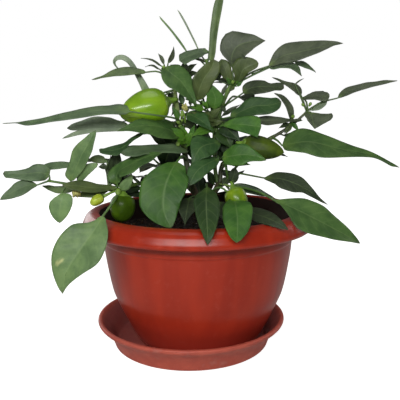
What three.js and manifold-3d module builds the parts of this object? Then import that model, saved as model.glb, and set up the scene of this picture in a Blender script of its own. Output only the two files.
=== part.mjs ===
// Potted chilli pepper plant: a leafy, fruiting plant in a bowl-shaped plastic pot on a saucer.
// Millimetres, +Z up, origin at the centre of the saucer's underside, -Y towards the front.
import * as THREE from "three";
import { mergeVertices } from "three/addons/utils/BufferGeometryUtils.js";
import Module from "manifold-3d";

const wasm = await Module();
wasm.setup();

// Pot and saucer. The pot stands a little to the right of the saucer's centre.
const roundSides = 30;
const potShift = 7;
const footHeight = 3.1;
const rimHeight = 138.7;
const collarRadius = 115.6;
const saucerLipRadius = 96.2;
const saucerLipHeight = 29.8;
const soilHeight = 115;

// Plant.
const bladeThickness = 0.8;
const seatGap = 0.3;
const foldDegrees = 14;
const waveShare = 0.03;

// Half sections, radius then height, from the axis round to the axis again.
const saucerSection = [
  [0, 0],
  [74.5, 0],
  [77, 1.2],
  [80, 11],
  [82, 18],
  [93.5, 21.5],
  [96, 24.5],
  [saucerLipRadius, 28],
  [94.8, saucerLipHeight],
  [91.8, saucerLipHeight],
  [90.4, 28.2],
  [87.4, 24],
  [80.6, 20.8],
  [78.4, 14],
  [75.6, 4.6],
  [73, 2.8],
  [0, 2.8],
];
const potSection = [
  [0, 5.1],
  [50, 5.1],
  [52, footHeight],
  [57.5, footHeight],
  [64.5, 11],
  [77, 36],
  [82, 47.5],
  [86.3, 59],
  [93, 96],
  [94.5, 109.5],
  [96.4, 110.8],
  [97, 117.5],
  [100.2, 133],
  [105, 134.6],
  [111.5, 129.5],
  [111, 121.3],
  [113, 120.4],
  [collarRadius, 127],
  [113.4, 133],
  [107, 137.7],
  [99.6, rimHeight],
  [98.3, 137.2],
  [94.4, 118],
  [90.2, 96],
  [86.6, 76],
  [79.2, 48.5],
  [67, 21.5],
  [57.5, 7.8],
  [0, 7.8],
];
const soilSection = [
  [0, 8.2],
  [57, 8.2],
  [78.6, 48.8],
  [89.7, 96.2],
  [93, soilHeight - 1],
  [84, soilHeight],
  [56, soilHeight],
  [28, soilHeight],
  [0, soilHeight],
];

// A leaf: its petiole's path from inside the stem to the foot of the blade, the blade's tip,
// its width, the way its upper side looks, and how it arches (bow), swings (sway) and folds.
// A greater belly moves the broadest place towards the tip. A blade has four strips, a plain one two.
function leaf(path, tip, width, face, form = {}) {
  return { path, tip, width, face, bow: 2, sway: 0, fold: foldDegrees, belly: 0.7, ...form };
}

const trunk = [
  { path: [[10, 3, 84], [12, 4, 108], [13, 4, 130]], radius: [5.2, 4] },
  { path: [[13, 4, 124], [6, 4, 151], [-2, 3, 172]], radius: [3.8, 2.8] },
  { path: [[13, 4, 126], [22, 2, 148], [29, -3, 165]], radius: [3.4, 2.5] },
];

const sprays = {
  left_branch: {
    stem: [
      [-2, 3, 170],
      [-22, -5, 171],
      [-39, -14, 169],
      [-54, -24, 166],
      [-68, -35, 163],
      [-86, -38, 165],
      [-104, -40, 168],
      [-132, -42, 173],
    ],
    radius: [2, 1.1],
    springsFrom: ["middle_left"],
    leaves: [
      leaf(
        [[-68, -35, 163], [-72, -60, 159], [-77, -82, 148]], [-108, -104, 85], 45, [-1, -4, 1],
        { sway: 3, belly: 1 },
      ),
      leaf([[-112, -41, 169], [-115, -48, 166], [-116, -53, 162]], [-120, -58, 136], 21, [0, -4, 1]),
      leaf([[-106, -40, 169], [-111, -41, 174]], [-87, -48, 219], 22, [-1, -4, 1], { sway: -1 }),
      leaf([[-104, -40, 168], [-104, -42, 174]], [-84, -46, 190], 7, [-1, -4, 1]),
      leaf([[-130, -42, 173], [-131, -43, 177]], [-169, -52, 178], 24, [0, -2, 3], { bow: 3 }),
      leaf([[-104, -40, 168], [-108, -36, 184]], [-141, -28, 186], 8, [0, -1, 3]),
      leaf([[-130, -42, 173], [-140, -46, 170]], [-172, -56, 158], 22, [0, -2, 3]),
      leaf([[-86, -38, 165], [-90, -34, 160]], [-145, -26, 166], 17, [0, -1, 1], { bow: -3 }),
      leaf([[-68, -35, 163], [-63, -42, 163]], [-109, -64, 168], 20, [0, -1, 3], { bow: 2 }),
      leaf([[-68, -35, 163], [-67, -39, 168]], [-25, -48, 199], 23, [1, -3, 2], { sway: -2 }),
      leaf([[-66, -34, 163], [-60, -42, 167]], [-54, -46, 181], 8, [0, -1, 0]),
      leaf([[-76, -36, 164], [-81, -32, 179]], [-92, -30, 195], 9, [0, -1, 0]),
      leaf([[-76, -36, 164], [-78, -34, 180]], [-73, -36, 197], 8, [1, -1, 0]),
      leaf([[-54, -24, 166], [-62, -6, 176], [-66, 4, 181]], [-112, 22, 186], 24, [0, 1, 3]),
      leaf(
        [[-39, -14, 169], [-48, 10, 170], [-56, 24, 168]], [-96, 62, 152], 28, [0, 1, 2],
        { bow: 5, strips: 2 },
      ),
    ],
    pedicels: [
      [[-54, -24, 166], [-50, -30, 164], [-53, -35, 157]],
      [[-76, -36, 164], [-80, -44, 165], [-82, -46, 161]],
    ],
  },
  middle_left: {
    stem: [[-1, 3, 169], [-3, 4, 197], [-9, 3, 222], [-14, 0, 243]],
    radius: [2.6, 1.7],
    springsFrom: [],
    leaves: [
      leaf(
        [[-9, 3, 222], [-14, -24, 229], [-33, -50, 236], [-52, -54, 238]], [-162, -64, 227], 25, [0, -1, 3],
        { bow: -1, belly: 0.5 },
      ),
      leaf([[-5, 4, 207], [-29, -6, 219], [-59, -20, 224]], [-118, -26, 222], 25, [0, -1, 2], { bow: 3 }),
      leaf([[-5, 4, 206], [-34, -12, 216], [-60, -25, 218]], [-121, -36, 213], 10, [0, -1, 1], { bow: 1 }),
      leaf([[-5, 4, 205], [-8, -8, 211]], [-60, -34, 215], 22, [0, -1, 2], { bow: 1 }),
      leaf([[-3, 4, 196], [-2, -14, 198]], [-66, -50, 199], 21, [0, -2, 3], { bow: 2 }),
      leaf([[-6, 4, 210], [-34, -30, 216], [-42, -36, 214]], [-82, -46, 201], 13, [-1, -2, 3], { bow: -1 }),
      leaf([[-9, 3, 224], [-6, -4, 232], [-2, -8, 234]], [23, -22, 217], 19, [1, -3, 2], { bow: 3 }),
      leaf([[-5, 4, 206], [-5, -10, 204]], [-16, -20, 220], 10, [0, -2, 1]),
      leaf([[-5, 4, 206], [-4, -9, 208]], [-8, -15, 224], 9, [0, -1, 0]),
      leaf([[-5, 4, 206], [-3, -10, 204]], [4, -17, 218], 10, [0, -2, 1]),
      leaf([[-5, 4, 204], [-3, -12, 202]], [9, -23, 208], 10, [0, -1, 1]),
      leaf([[-9, 3, 220], [-14, -8, 226]], [-26, -18, 210], 13, [-1, -2, 1]),
      leaf([[-3, 4, 187], [-7, -18, 193], [-13, -32, 189]], [-16, -62, 134], 42, [0, -3, 1], { sway: 5 }),
      leaf([[-2, 4, 176], [6, 14, 178], [8, 18, 183]], [12, 27, 229], 28, [0, -1, 0], { strips: 2 }),
      leaf([[-8, 4, 216], [-14, 12, 214], [-16, 16, 211]], [-30, 26, 172], 26, [0, -1, 0], { strips: 2 }),
      leaf([[-6, 4, 212], [-16, 20, 218], [-24, 30, 220]], [-74, 52, 226], 28, [0, 1, 4], { strips: 2 }),
      leaf(
        [[-3, 4, 194], [-10, 22, 204], [-14, 34, 206]], [-36, 88, 204], 30, [0, 1, 3],
        { bow: 4, strips: 2 },
      ),
      leaf(
        [[-3, 4, 180], [-4, 26, 184], [-2, 38, 184]], [8, 96, 168], 32, [0, 1, 3],
        { bow: 5, strips: 2 },
      ),
    ],
    pedicels: [
      [[-6, 3, 214], [-4, -10, 230], [-7, -14, 236]],
      [[-8, 3, 219], [-7, -10, 228]],
      [[-7, 3, 216], [-9, -11, 222]],
      [[-3, 4, 199], [-11, -14, 206]],
    ],
  },
  top_left: {
    stem: [[-12, 1, 236], [-17, -2, 260], [-23, -2, 276]],
    radius: [1.6, 1.1],
    springsFrom: ["middle_left"],
    leaves: [
      leaf([[-22, -2, 271], [-25, -6, 277]], [10, -24, 243], 23, [1, -3, 2], { bow: 4 }),
      leaf([[-21, -2, 269], [-30, -3, 274], [-42, -4, 273]], [-92, -14, 268], 15, [0, -1, 3], { bow: 1 }),
      leaf([[-17, -2, 256], [-28, 4, 250], [-36, 5, 256]], [-75, 0, 289], 9, [1, -1, 1], { bow: 4 }),
      leaf([[-22, -2, 272], [-26, -4, 279]], [-46, -6, 287], 4, [0, -1, 2]),
      leaf([[-22, -2, 273], [-24, -2, 281]], [-30, 0, 292], 4, [0, -1, 1]),
      leaf([[-22, -2, 273], [-20, -2, 282]], [-14, 0, 298], 6, [1, -1, 0]),
      leaf([[-21, -2, 269], [-28, -6, 276]], [-42, -9, 279], 4, [0, -1, 2]),
      leaf([[-21, -2, 270], [-18, 6, 275]], [8, 12, 271], 13, [0, -1, 1]),
      leaf([[-17, -2, 259], [-12, 12, 264], [-8, 20, 264]], [12, 46, 252], 22, [0, 1, 3], { strips: 2 }),
      leaf([[-16, -2, 256], [-26, 12, 254], [-30, 20, 252]], [-44, 44, 242], 18, [0, 1, 3], { strips: 2 }),
    ],
    pedicels: [[[-14, 0, 247], [-12, -8, 248], [-17, -12, 245]]],
  },
  top: {
    stem: [
      [28, -2, 162],
      [25, 2, 182],
      [25, 6, 210],
      [24, 4, 229],
      [20, 4, 251],
      [18, 3, 274],
      [17, 2, 286],
    ],
    radius: [2.2, 1.1],
    springsFrom: [],
    leaves: [
      leaf([[22, 4, 240], [13, -2, 244], [7, -4, 246]], [23, -10, 287], 24, [1, -4, 1]),
      leaf([[19, 4, 262], [20, 14, 266]], [34, 22, 284], 15, [0, -1, 0], { strips: 2 }),
      leaf([[18, 3, 272], [21, 2, 280]], [30, -4, 360], 14, [-4, -1, 0], { fold: 50, bow: 0 }),
      leaf([[18, 2, 282], [20, 3, 290], [18, 3, 292]], [-11, -4, 282], 17, [0, -2, 3], { bow: 3 }),
      leaf([[17, 3, 279], [8, 6, 288], [-1, 8, 292]], [-28, 4, 327], 6, [1, 0, 1], { fold: 30, bow: 1 }),
      leaf([[17, 3, 283], [12, 6, 290], [10, 6, 295]], [-10, 0, 332], 4, [1, 0, 1], { fold: 20, bow: 0 }),
      leaf([[24, 4, 228], [25, -2, 238]], [22, -8, 262], 18, [0, -1, 0]),
      leaf([[22, 4, 240], [12, -4, 242], [8, -10, 241]], [-4, -18, 248], 11, [0, -1, 1]),
      leaf([[22, 4, 240], [16, -4, 238]], [17, -14, 246], 9, [0, -2, 1]),
      leaf([[25, 6, 202], [31, -12, 208]], [2, -34, 187], 25, [0, -2, 1], { belly: 0.85 }),
      leaf([[25, 3, 186], [27, -12, 193], [27, -22, 192]], [0, -46, 168], 21, [0, -2, 1]),
      leaf([[25, 5, 214], [22, -8, 220]], [2, -22, 212], 11, [0, -2, 1]),
      leaf(
        [[24, 6, 213], [29, 24, 221], [32, 32, 222]], [46, 86, 222], 28, [0, 1, 3],
        { bow: 5, strips: 2 },
      ),
      leaf(
        [[24, 5, 232], [12, 20, 238], [6, 28, 238]], [-22, 74, 232], 28, [0, 1, 3],
        { bow: 5, strips: 2 },
      ),
      leaf(
        [[25, 5, 196], [28, 24, 198], [29, 34, 196]], [34, 94, 180], 30, [0, 1, 3],
        { bow: 5, strips: 2 },
      ),
      leaf([[19, 3, 262], [24, 16, 266], [28, 24, 268]], [44, 56, 262], 20, [0, 1, 3], { strips: 2 }),
    ],
    pedicels: [],
  },
  right_top: {
    stem: [[25, 6, 206], [30, 7, 227], [35, 7, 241], [45, 6, 263]],
    radius: [1.7, 1.2],
    springsFrom: ["top"],
    leaves: [
      leaf([[45, 6, 262], [43, 6, 272], [42, 6, 280]], [73, -6, 303], 35, [0, -4, 1], { sway: -6 }),
      leaf([[44, 6, 260], [46, 4, 266]], [67, -6, 284], 22, [0, -3, 2], { sway: -2 }),
      leaf([[44, 6, 262], [38, 8, 270]], [32, 8, 286], 9, [0, -1, 0]),
      leaf(
        [[45, 6, 262], [62, 4, 273], [80, 2, 281]], [146, -14, 299], 23, [0, -2, 1],
        { bow: 4, belly: 0.6 },
      ),
      leaf([[44, 6, 261], [62, 5, 270], [78, 4, 275]], [110, -8, 269], 14, [0, -2, 3], { bow: 4 }),
      leaf([[62, 5, 271], [80, 8, 278], [92, 8, 280]], [124, 8, 274], 6, [0, -1, 2], { bow: 3 }),
      leaf([[35, 7, 241], [52, 2, 252]], [97, -10, 262], 18, [0, -1, 1], { bow: 2, belly: 0.6 }),
      leaf([[30, 7, 227], [40, 0, 229]], [89, -12, 244], 21, [0, -2, 1], { bow: 4, belly: 0.85 }),
      leaf([[28, 7, 219], [34, -14, 222]], [66, -32, 216], 21, [0, -3, 1], { belly: 1.1 }),
      leaf([[28, 7, 219], [31, -2, 224]], [50, -15, 206], 18, [0, -3, 1]),
      leaf(
        [[35, 7, 240], [44, 22, 250], [50, 30, 250]], [70, 66, 240], 22, [0, 1, 3],
        { bow: 4, strips: 2 },
      ),
    ],
    pedicels: [],
  },
  right_branch: {
    stem: [
      [30, -3, 163],
      [40, 4, 181],
      [56, 6, 195],
      [83, 8, 209],
      [101, 8, 223],
      [118, 6, 236],
    ],
    radius: [2.3, 1.2],
    springsFrom: ["top"],
    leaves: [
      leaf(
        [[83, 8, 209], [88, 2, 206], [94, -3, 203]], [202, -20, 183], 24, [0, -3, 2],
        { bow: 9, sway: 1 },
      ),
      leaf([[117, 6, 235], [113, 8, 244], [110, 8, 254]], [82, 4, 268], 8, [0, 0, 1], { bow: 2 }),
      leaf([[101, 8, 223], [102, 6, 229]], [84, -2, 252], 9, [1, 0, 1], { bow: 7 }),
      leaf([[101, 8, 223], [97, 4, 225]], [68, -6, 226], 10, [0, -1, 3], { bow: 0 }),
      leaf([[118, 6, 236], [117, 8, 244], [116, 9, 249]], [138, 0, 254], 9, [0, -1, 3]),
      leaf([[118, 6, 236], [126, 5, 244]], [136, 2, 250], 8, [1, -2, 0]),
      leaf([[117, 6, 235], [130, 3, 243], [142, 0, 249]], [200, -14, 264], 17, [0, -1, 3]),
      leaf([[116, 6, 234], [114, 2, 231]], [143, -8, 227], 18, [0, -3, 1], { bow: 0 }),
      leaf(
        [[83, 8, 209], [92, 24, 212], [98, 34, 210]], [136, 70, 196], 26, [0, 1, 3],
        { bow: 4, strips: 2 },
      ),
    ],
    pedicels: [[[55, 6, 195], [52, -6, 205], [54, -15, 208]]],
  },
  lower_right: {
    stem: [[28, -2, 160], [36, -10, 165], [42, -14, 170]],
    radius: [1.8, 1.3],
    springsFrom: ["right_branch", "top"],
    leaves: [
      leaf([[42, -14, 170], [56, -18, 177], [74, -24, 172]], [129, -46, 151], 23, [0, -2, 3], { bow: 5 }),
      leaf(
        [[37, -11, 166], [50, -24, 165], [66, -40, 161], [78, -46, 154]], [160, -54, 113], 36, [0, -1, 2],
        { bow: 1 },
      ),
      leaf([[35, -9, 164], [46, -16, 151], [60, -22, 144]], [84, -40, 128], 20, [0, -1, 2]),
      leaf([[38, -12, 167], [35, -24, 182], [33, -30, 190]], [72, -50, 195], 18, [0, -3, 1]),
      leaf([[39, -12, 167], [40, -14, 170]], [43, -16, 182], 9, [0, -1, 0]),
    ],
    pedicels: [],
  },
  front: {
    stem: [[13, 4, 136], [16, -8, 147], [18, -22, 157]],
    radius: [1.8, 1.3],
    springsFrom: [],
    leaves: [
      leaf([[18, -22, 157], [16, -38, 168], [15, -58, 170]], [16, -119, 131], 22, [0, -2, 3], { bow: 6 }),
      leaf([[18, -22, 157], [30, -40, 165], [39, -60, 162]], [40, -119, 133], 27, [0, -2, 3], { bow: 6 }),
      leaf([[16, -8, 147], [4, -22, 154], [0, -32, 154]], [-4, -72, 136], 20, [0, -2, 3]),
      leaf([[16, -10, 148], [26, -24, 152], [28, -32, 150]], [36, -68, 134], 18, [0, -2, 3]),
    ],
    pedicels: [[[18, -22, 157], [32, -30, 167], [40, -37, 165]]],
  },
  back_left: {
    stem: [[5, 4, 152], [-10, 20, 164], [-24, 32, 174], [-34, 40, 180]],
    radius: [2, 1.2],
    springsFrom: [],
    leaves: [
      leaf([[-33, 39, 179], [-42, 48, 186]], [-86, 72, 190], 30, [0, 1, 3], { bow: 4, strips: 2 }),
      leaf([[-30, 37, 177], [-36, 52, 176]], [-62, 102, 164], 30, [0, 1, 2], { bow: 4, strips: 2 }),
      leaf([[-14, 24, 167], [-26, 38, 162]], [-62, 76, 151], 26, [0, 1, 3], { bow: 4, strips: 2 }),
      leaf([[-31, 38, 178], [-26, 48, 184]], [-20, 86, 192], 24, [0, 1, 3], { strips: 2 }),
    ],
    pedicels: [],
  },
  back_right: {
    stem: [[22, 2, 149], [34, 18, 162], [46, 30, 174], [56, 38, 184]],
    radius: [2, 1.2],
    springsFrom: [],
    leaves: [
      leaf([[55, 37, 183], [66, 44, 186]], [108, 62, 186], 26, [0, 1, 3], { bow: 4, strips: 2 }),
      leaf([[50, 33, 178], [60, 46, 184]], [79, 92, 201], 26, [0, 1, 4], { bow: 5, strips: 2 }),
      leaf([[54, 37, 182], [56, 50, 192]], [66, 88, 208], 22, [0, 0, 1], { strips: 2 }),
      leaf([[40, 24, 168], [44, 40, 164]], [54, 98, 158], 26, [0, 1, 2], { bow: 4, strips: 2 }),
    ],
    pedicels: [],
  },
  back_low: {
    stem: [[13, 5, 132], [12, 20, 144], [10, 34, 152]],
    radius: [1.8, 1.2],
    springsFrom: [],
    leaves: [
      leaf([[10, 33, 152], [0, 46, 153]], [-36, 106, 143], 28, [0, 1, 3], { bow: 4, strips: 2 }),
      leaf([[10, 34, 152], [11, 50, 156]], [20, 124, 128], 30, [0, 2, 3], { bow: 9, strips: 2 }),
      leaf([[12, 16, 141], [10, 18, 149]], [7, 26, 177], 17, [0, -1, 0], { strips: 2 }),
      leaf([[12, 22, 145], [22, 38, 146]], [44, 82, 134], 22, [0, 1, 3], { bow: 4, strips: 2 }),
    ],
    pedicels: [],
  },
};

// Fruits, from the stem end to the blossom end, and the spray that carries each.
const fruits = {
  fruit_large_green: { from: [-21, -13, 244], to: [-64, -29, 238], radius: 17, carrier: "top_left" },
  fruit_low_green: { from: [-54, -36, 155], to: [-65, -46, 134], radius: 12, carrier: "left_branch" },
  fruit_small_young: { from: [-82, -46.5, 160], to: [-89, -51, 148], radius: 4.6, carrier: "left_branch" },
  fruit_yellow_green: { from: [41, -38, 164], to: [50, -46, 146], radius: 10, carrier: "front" },
  fruit_olive: { from: [55, -17, 206], to: [88, -27, 194], radius: 11, carrier: "right_branch" },
};

// Spent flowers, small dry cones seated at the end of a thin stalk.
const flowers = {
  spent_flower_top: { from: [-7.5, -14.6, 236.6], to: [-10, -19, 243], radius: 3.4, carrier: "middle_left" },
};

function vector(p) {
  return new THREE.Vector3(p[0], p[1], p[2]);
}

function solidFrom(positions, triangles) {
  const geometry = new THREE.BufferGeometry();
  geometry.setAttribute("position", new THREE.BufferAttribute(new Float32Array(positions), 3));
  geometry.setIndex(triangles);
  const merged = mergeVertices(geometry, 1e-4);
  const kept = [];
  const index = merged.index.array;
  for (let i = 0; i < index.length; i += 3) {
    const [a, b, c] = [index[i], index[i + 1], index[i + 2]];
    if (a !== b && b !== c && a !== c) kept.push(a, b, c);
  }
  const vertProperties = new Float32Array(merged.attributes.position.array);
  const triVerts = new Uint32Array(kept);
  return new wasm.Manifold(new wasm.Mesh({ numProp: 3, vertProperties, triVerts }));
}

// A solid of revolution about its own Y axis, its section running from the axis to the axis.
function turned(section, sides, matrix, bump = () => 0) {
  const points = section.map(([r, h]) => new THREE.Vector2(r, h));
  const geometry = new THREE.LatheGeometry(points, sides);
  const positions = geometry.attributes.position;
  for (let i = 0; i < positions.count; i++) {
    const lift = bump(positions.getX(i), positions.getY(i), positions.getZ(i));
    positions.setY(i, positions.getY(i) + lift);
  }
  geometry.applyMatrix4(matrix);
  const triangles = Array.from(geometry.index.array);
  const made = solidFrom(positions.array, triangles);
  if (made.volume() > 0) return made;
  return solidFrom(positions.array, triangles.reverse());
}

function upright(x) {
  const turn = new THREE.Matrix4().makeRotationX(Math.PI / 2);
  return new THREE.Matrix4().makeTranslation(x, 0, 0).multiply(turn);
}

// A matrix that lays the Y axis of a turned solid from one point towards another.
function along(from, to) {
  const start = vector(from);
  const way = vector(to).sub(start).normalize();
  const turn = new THREE.Quaternion().setFromUnitVectors(new THREE.Vector3(0, 1, 0), way);
  return new THREE.Matrix4().compose(start, turn, new THREE.Vector3(1, 1, 1));
}

// A round stem that tapers along a smooth path, with flat closed ends.
function stem(path, radius, sides, extra = 0, finer = 2) {
  const curve = new THREE.CatmullRomCurve3(path.map(vector));
  const spans = Math.round((path.length - 1) * finer);
  const frames = curve.computeFrenetFrames(spans, false);
  const positions = [];
  const triangles = [];
  for (let i = 0; i <= spans; i++) {
    const centre = curve.getPointAt(i / spans);
    const r = THREE.MathUtils.lerp(radius[0], radius[1], i / spans) + extra;
    for (let j = 0; j < sides; j++) {
      const angle = (2 * Math.PI * j) / sides;
      const p = centre
        .clone()
        .addScaledVector(frames.normals[i], r * Math.cos(angle))
        .addScaledVector(frames.binormals[i], r * Math.sin(angle));
      positions.push(p.x, p.y, p.z);
    }
  }
  const ends = [0, spans].map((i) => {
    const p = curve.getPointAt(i / spans).addScaledVector(frames.tangents[i], i === 0 ? -extra : extra);
    positions.push(p.x, p.y, p.z);
    return positions.length / 3 - 1;
  });
  for (let j = 0; j < sides; j++) {
    const next = (j + 1) % sides;
    for (let i = 0; i < spans; i++) {
      const [a, b] = [i * sides + j, i * sides + next];
      const [c, d] = [b + sides, a + sides];
      triangles.push(a, b, c, a, c, d);
    }
    triangles.push(ends[0], next, j);
    triangles.push(ends[1], spans * sides + j, spans * sides + next);
  }
  return solidFrom(positions, triangles);
}

// Frame of a blade: points on its midrib, with the ways across it and out of its upper side.
function midrib(form) {
  const base = vector(form.path[form.path.length - 1]);
  const run = vector(form.tip).sub(base);
  const across = run.clone().cross(vector(form.face)).normalize();
  const out = across.clone().cross(run).normalize();
  const length = run.length();
  return (q) => {
    const arch = 4 * q * (1 - q);
    const slope = 4 * (1 - 2 * q);
    const point = base
      .clone()
      .addScaledVector(run, q)
      .addScaledVector(out, form.bow * arch)
      .addScaledVector(across, form.sway * arch);
    const way = run
      .clone()
      .addScaledVector(out, form.bow * slope)
      .addScaledVector(across, form.sway * slope)
      .normalize();
    const side = across.clone().addScaledVector(way, -across.dot(way)).normalize();
    return { point, way, side, out: side.clone().cross(way).normalize(), length };
  };
}

// Half width of a blade as a share of its greatest: round at the foot, drawn out at the tip.
function halfWidth(q, belly) {
  return Math.pow(Math.sin(Math.PI * Math.pow(q, belly)), 1 + 0.5 * q);
}

// A leaf in one closed piece: a four-sided petiole that widens into a thin blade.
function leafSolid(form, number) {
  const rib = midrib(form);
  const foot = rib(0);
  const strips = form.strips ?? (form.width > 17 ? 4 : 2);
  const spans = foot.length > 75 ? 6 : foot.length > 32 ? 5 : 4;
  const fold = THREE.MathUtils.degToRad(form.fold);
  const phase = 2.4 * number;
  const positions = [];
  const triangles = [];
  const add = (p) => positions.push(p.x, p.y, p.z) / 3 - 1;

  const curve = new THREE.CatmullRomCurve3(form.path.map(vector));
  const steps = form.path.length > 2 ? 3 : 1;
  const size = Math.min(1.3, 0.7 + form.width * 0.016);
  const rings = [];
  const side = foot.side.clone();
  for (let i = steps; i >= 0; i--) {
    const centre = curve.getPointAt(i / steps);
    const way = curve.getTangentAt(i / steps);
    if (i === steps) way.add(foot.way).normalize();
    side.addScaledVector(way, -side.dot(way)).normalize();
    const out = side.clone().cross(way);
    const r = size * (1 - (0.3 * i) / steps);
    const around = [
      side.clone().multiplyScalar(-r),
      out.clone().multiplyScalar(r),
      side.clone().multiplyScalar(r),
      out.clone().multiplyScalar(-r),
    ];
    rings.unshift(around.map((offset) => add(offset.add(centre))));
  }
  triangles.push(rings[0][0], rings[0][2], rings[0][1], rings[0][0], rings[0][3], rings[0][2]);
  for (let i = 0; i < steps; i++) {
    for (let k = 0; k < 4; k++) {
      const next = (k + 1) % 4;
      triangles.push(rings[i][k], rings[i][next], rings[i + 1][next]);
      triangles.push(rings[i][k], rings[i + 1][next], rings[i + 1][k]);
    }
  }

  const rows = [];
  for (let i = 1; i < spans; i++) {
    const q = i / spans;
    const at = rib(q);
    const half = (form.width / 2) * halfWidth(q, form.belly);
    const row = { top: [], under: [] };
    for (let j = 0; j <= strips; j++) {
      const s = (2 * j) / strips - 1;
      const wave = waveShare * form.width * s * s * Math.sin(9 * q + phase + s);
      const p = at.point
        .clone()
        .addScaledVector(at.side, half * s * Math.cos(fold * Math.abs(s)))
        .addScaledVector(at.out, half * Math.abs(s) * Math.sin(fold) + wave);
      row.top.push(add(p.clone().addScaledVector(at.out, bladeThickness / 2)));
      row.under.push(add(p.clone().addScaledVector(at.out, -bladeThickness / 2)));
    }
    rows.push(row);
  }
  const end = rib(1);
  const tip = {
    top: add(end.point.clone().addScaledVector(end.out, bladeThickness / 2)),
    under: add(end.point.clone().addScaledVector(end.out, -bladeThickness / 2)),
  };

  // The foot, where the four corners of the petiole meet the first row of the blade.
  const [left, crown, right, keel] = rings[steps];
  const first = rows[0];
  const middle = strips / 2;
  for (let j = 0; j < strips; j++) {
    const corner = j === 0 ? left : j === strips - 1 ? right : null;
    triangles.push(corner ?? crown, first.top[j + 1], first.top[j]);
    triangles.push(corner ?? keel, first.under[j], first.under[j + 1]);
  }
  triangles.push(left, crown, first.top[1], crown, right, first.top[strips - 1]);
  triangles.push(left, first.under[1], keel, keel, first.under[strips - 1], right);
  triangles.push(left, first.top[0], first.under[0]);
  triangles.push(right, first.under[strips], first.top[strips]);

  const pair = (ends, a, b, c) => {
    triangles.push(ends[a[0]].top[a[1]], ends[b[0]].top[b[1]], ends[c[0]].top[c[1]]);
    triangles.push(ends[a[0]].under[a[1]], ends[c[0]].under[c[1]], ends[b[0]].under[b[1]]);
  };
  for (let i = 0; i + 1 < rows.length; i++) {
    for (let j = 0; j < strips; j++) {
      const [a, b, c, d] = [[i, j], [i, j + 1], [i + 1, j + 1], [i + 1, j]];
      pair(rows, a, b, j < middle ? c : d);
      pair(rows, j < middle ? a : b, c, d);
    }
    triangles.push(rows[i].top[0], rows[i + 1].top[0], rows[i + 1].under[0]);
    triangles.push(rows[i].top[0], rows[i + 1].under[0], rows[i].under[0]);
    triangles.push(rows[i].top[strips], rows[i + 1].under[strips], rows[i + 1].top[strips]);
    triangles.push(rows[i].top[strips], rows[i].under[strips], rows[i + 1].under[strips]);
  }
  const last = rows[rows.length - 1];
  for (let j = 0; j < strips; j++) {
    triangles.push(last.top[j], last.top[j + 1], tip.top);
    triangles.push(last.under[j], tip.under, last.under[j + 1]);
  }
  triangles.push(last.top[0], tip.top, tip.under, last.top[0], tip.under, last.under[0]);
  triangles.push(last.top[strips], tip.under, tip.top, last.top[strips], last.under[strips], tip.under);
  return solidFrom(positions, triangles);
}

// Section of a fruit along its length: a shoulder at the stem end and a rounded blossom end.
function fruitSection(length, radius, extra) {
  const stations = [
    [0, 0.5],
    [0.08, 0.82],
    [0.3, 1],
    [0.62, 0.92],
    [0.86, 0.62],
    [0.97, 0.3],
  ];
  const body = stations.map(([t, share]) => {
    const shift = t < 0.1 ? -extra : extra * t;
    return [radius * share + extra, t * length + shift];
  });
  return [[0, length * 0.03 - extra], ...body, [0, length + extra]];
}

function fruitSolid(form, extra = 0) {
  const length = vector(form.to).distanceTo(vector(form.from));
  return turned(fruitSection(length, form.radius, extra), 10, along(form.from, form.to));
}

// The calyx is a shallow cap over the shoulder of a fruit.
function calyx(form) {
  const reach = form.radius * 0.62;
  const section = [
    [0, -form.radius * 0.2 - 1],
    [reach * 0.35, -form.radius * 0.14 - 0.8],
    [reach, -form.radius * 0.02],
    [reach * 1.05, form.radius * 0.12],
    [0, form.radius * 0.12],
  ];
  return turned(section, 6, along(form.from, form.to));
}

function flowerSolid(form, extra = 0) {
  const length = vector(form.to).distanceTo(vector(form.from));
  const section = [
    [0, -extra],
    [form.radius * 0.45 + extra, -extra],
    [form.radius + extra, length * 0.55],
    [form.radius * 0.7 + extra, length + extra],
    [0, length * 0.8 + extra],
  ];
  return turned(section, 7, along(form.from, form.to));
}

function joined(solids) {
  return solids.reduce((whole, part) => whole.add(part));
}

const potColour = 0x9f3622;
const saucerColour = 0x96443a;
const finishes = {
  potPlastic: { color: potColour, roughness: 0.35, metalness: 0 },
  saucerPlastic: { color: saucerColour, roughness: 0.45, metalness: 0 },
  soil: { color: 0x2a1f1a, roughness: 1, metalness: 0 },
  woodyStem: { color: 0x4a4a2c, roughness: 0.8, metalness: 0 },
  leaf: { color: 0x2f6b2b, roughness: 0.55, metalness: 0 },
  greenFruit: { color: 0x6f9f1f, roughness: 0.25, metalness: 0 },
  darkFruit: { color: 0x4d7a1e, roughness: 0.25, metalness: 0 },
  yellowFruit: { color: 0xa3b52a, roughness: 0.25, metalness: 0 },
  oliveFruit: { color: 0x7c8a2a, roughness: 0.25, metalness: 0 },
  driedFlower: { color: 0xb89a5a, roughness: 0.9, metalness: 0 },
};

const plant = new THREE.Group();

function addNode(name, solid, finish) {
  const made = solid.getMesh();
  const geometry = new THREE.BufferGeometry();
  const positions = new Float32Array(made.numVert * 3);
  for (let i = 0; i < made.numVert; i++) {
    positions.set(made.vertProperties.subarray(i * made.numProp, i * made.numProp + 3), i * 3);
  }
  geometry.setAttribute("position", new THREE.BufferAttribute(positions, 3));
  geometry.setIndex(Array.from(made.triVerts));
  geometry.computeVertexNormals();
  const mesh = new THREE.Mesh(geometry, new THREE.MeshStandardMaterial(finishes[finish]));
  mesh.name = name;
  plant.add(mesh);
}

addNode("saucer", turned(saucerSection, roundSides, upright(0)), "saucerPlastic");
addNode("pot", turned(potSection, roundSides, upright(potShift)), "potPlastic");

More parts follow.
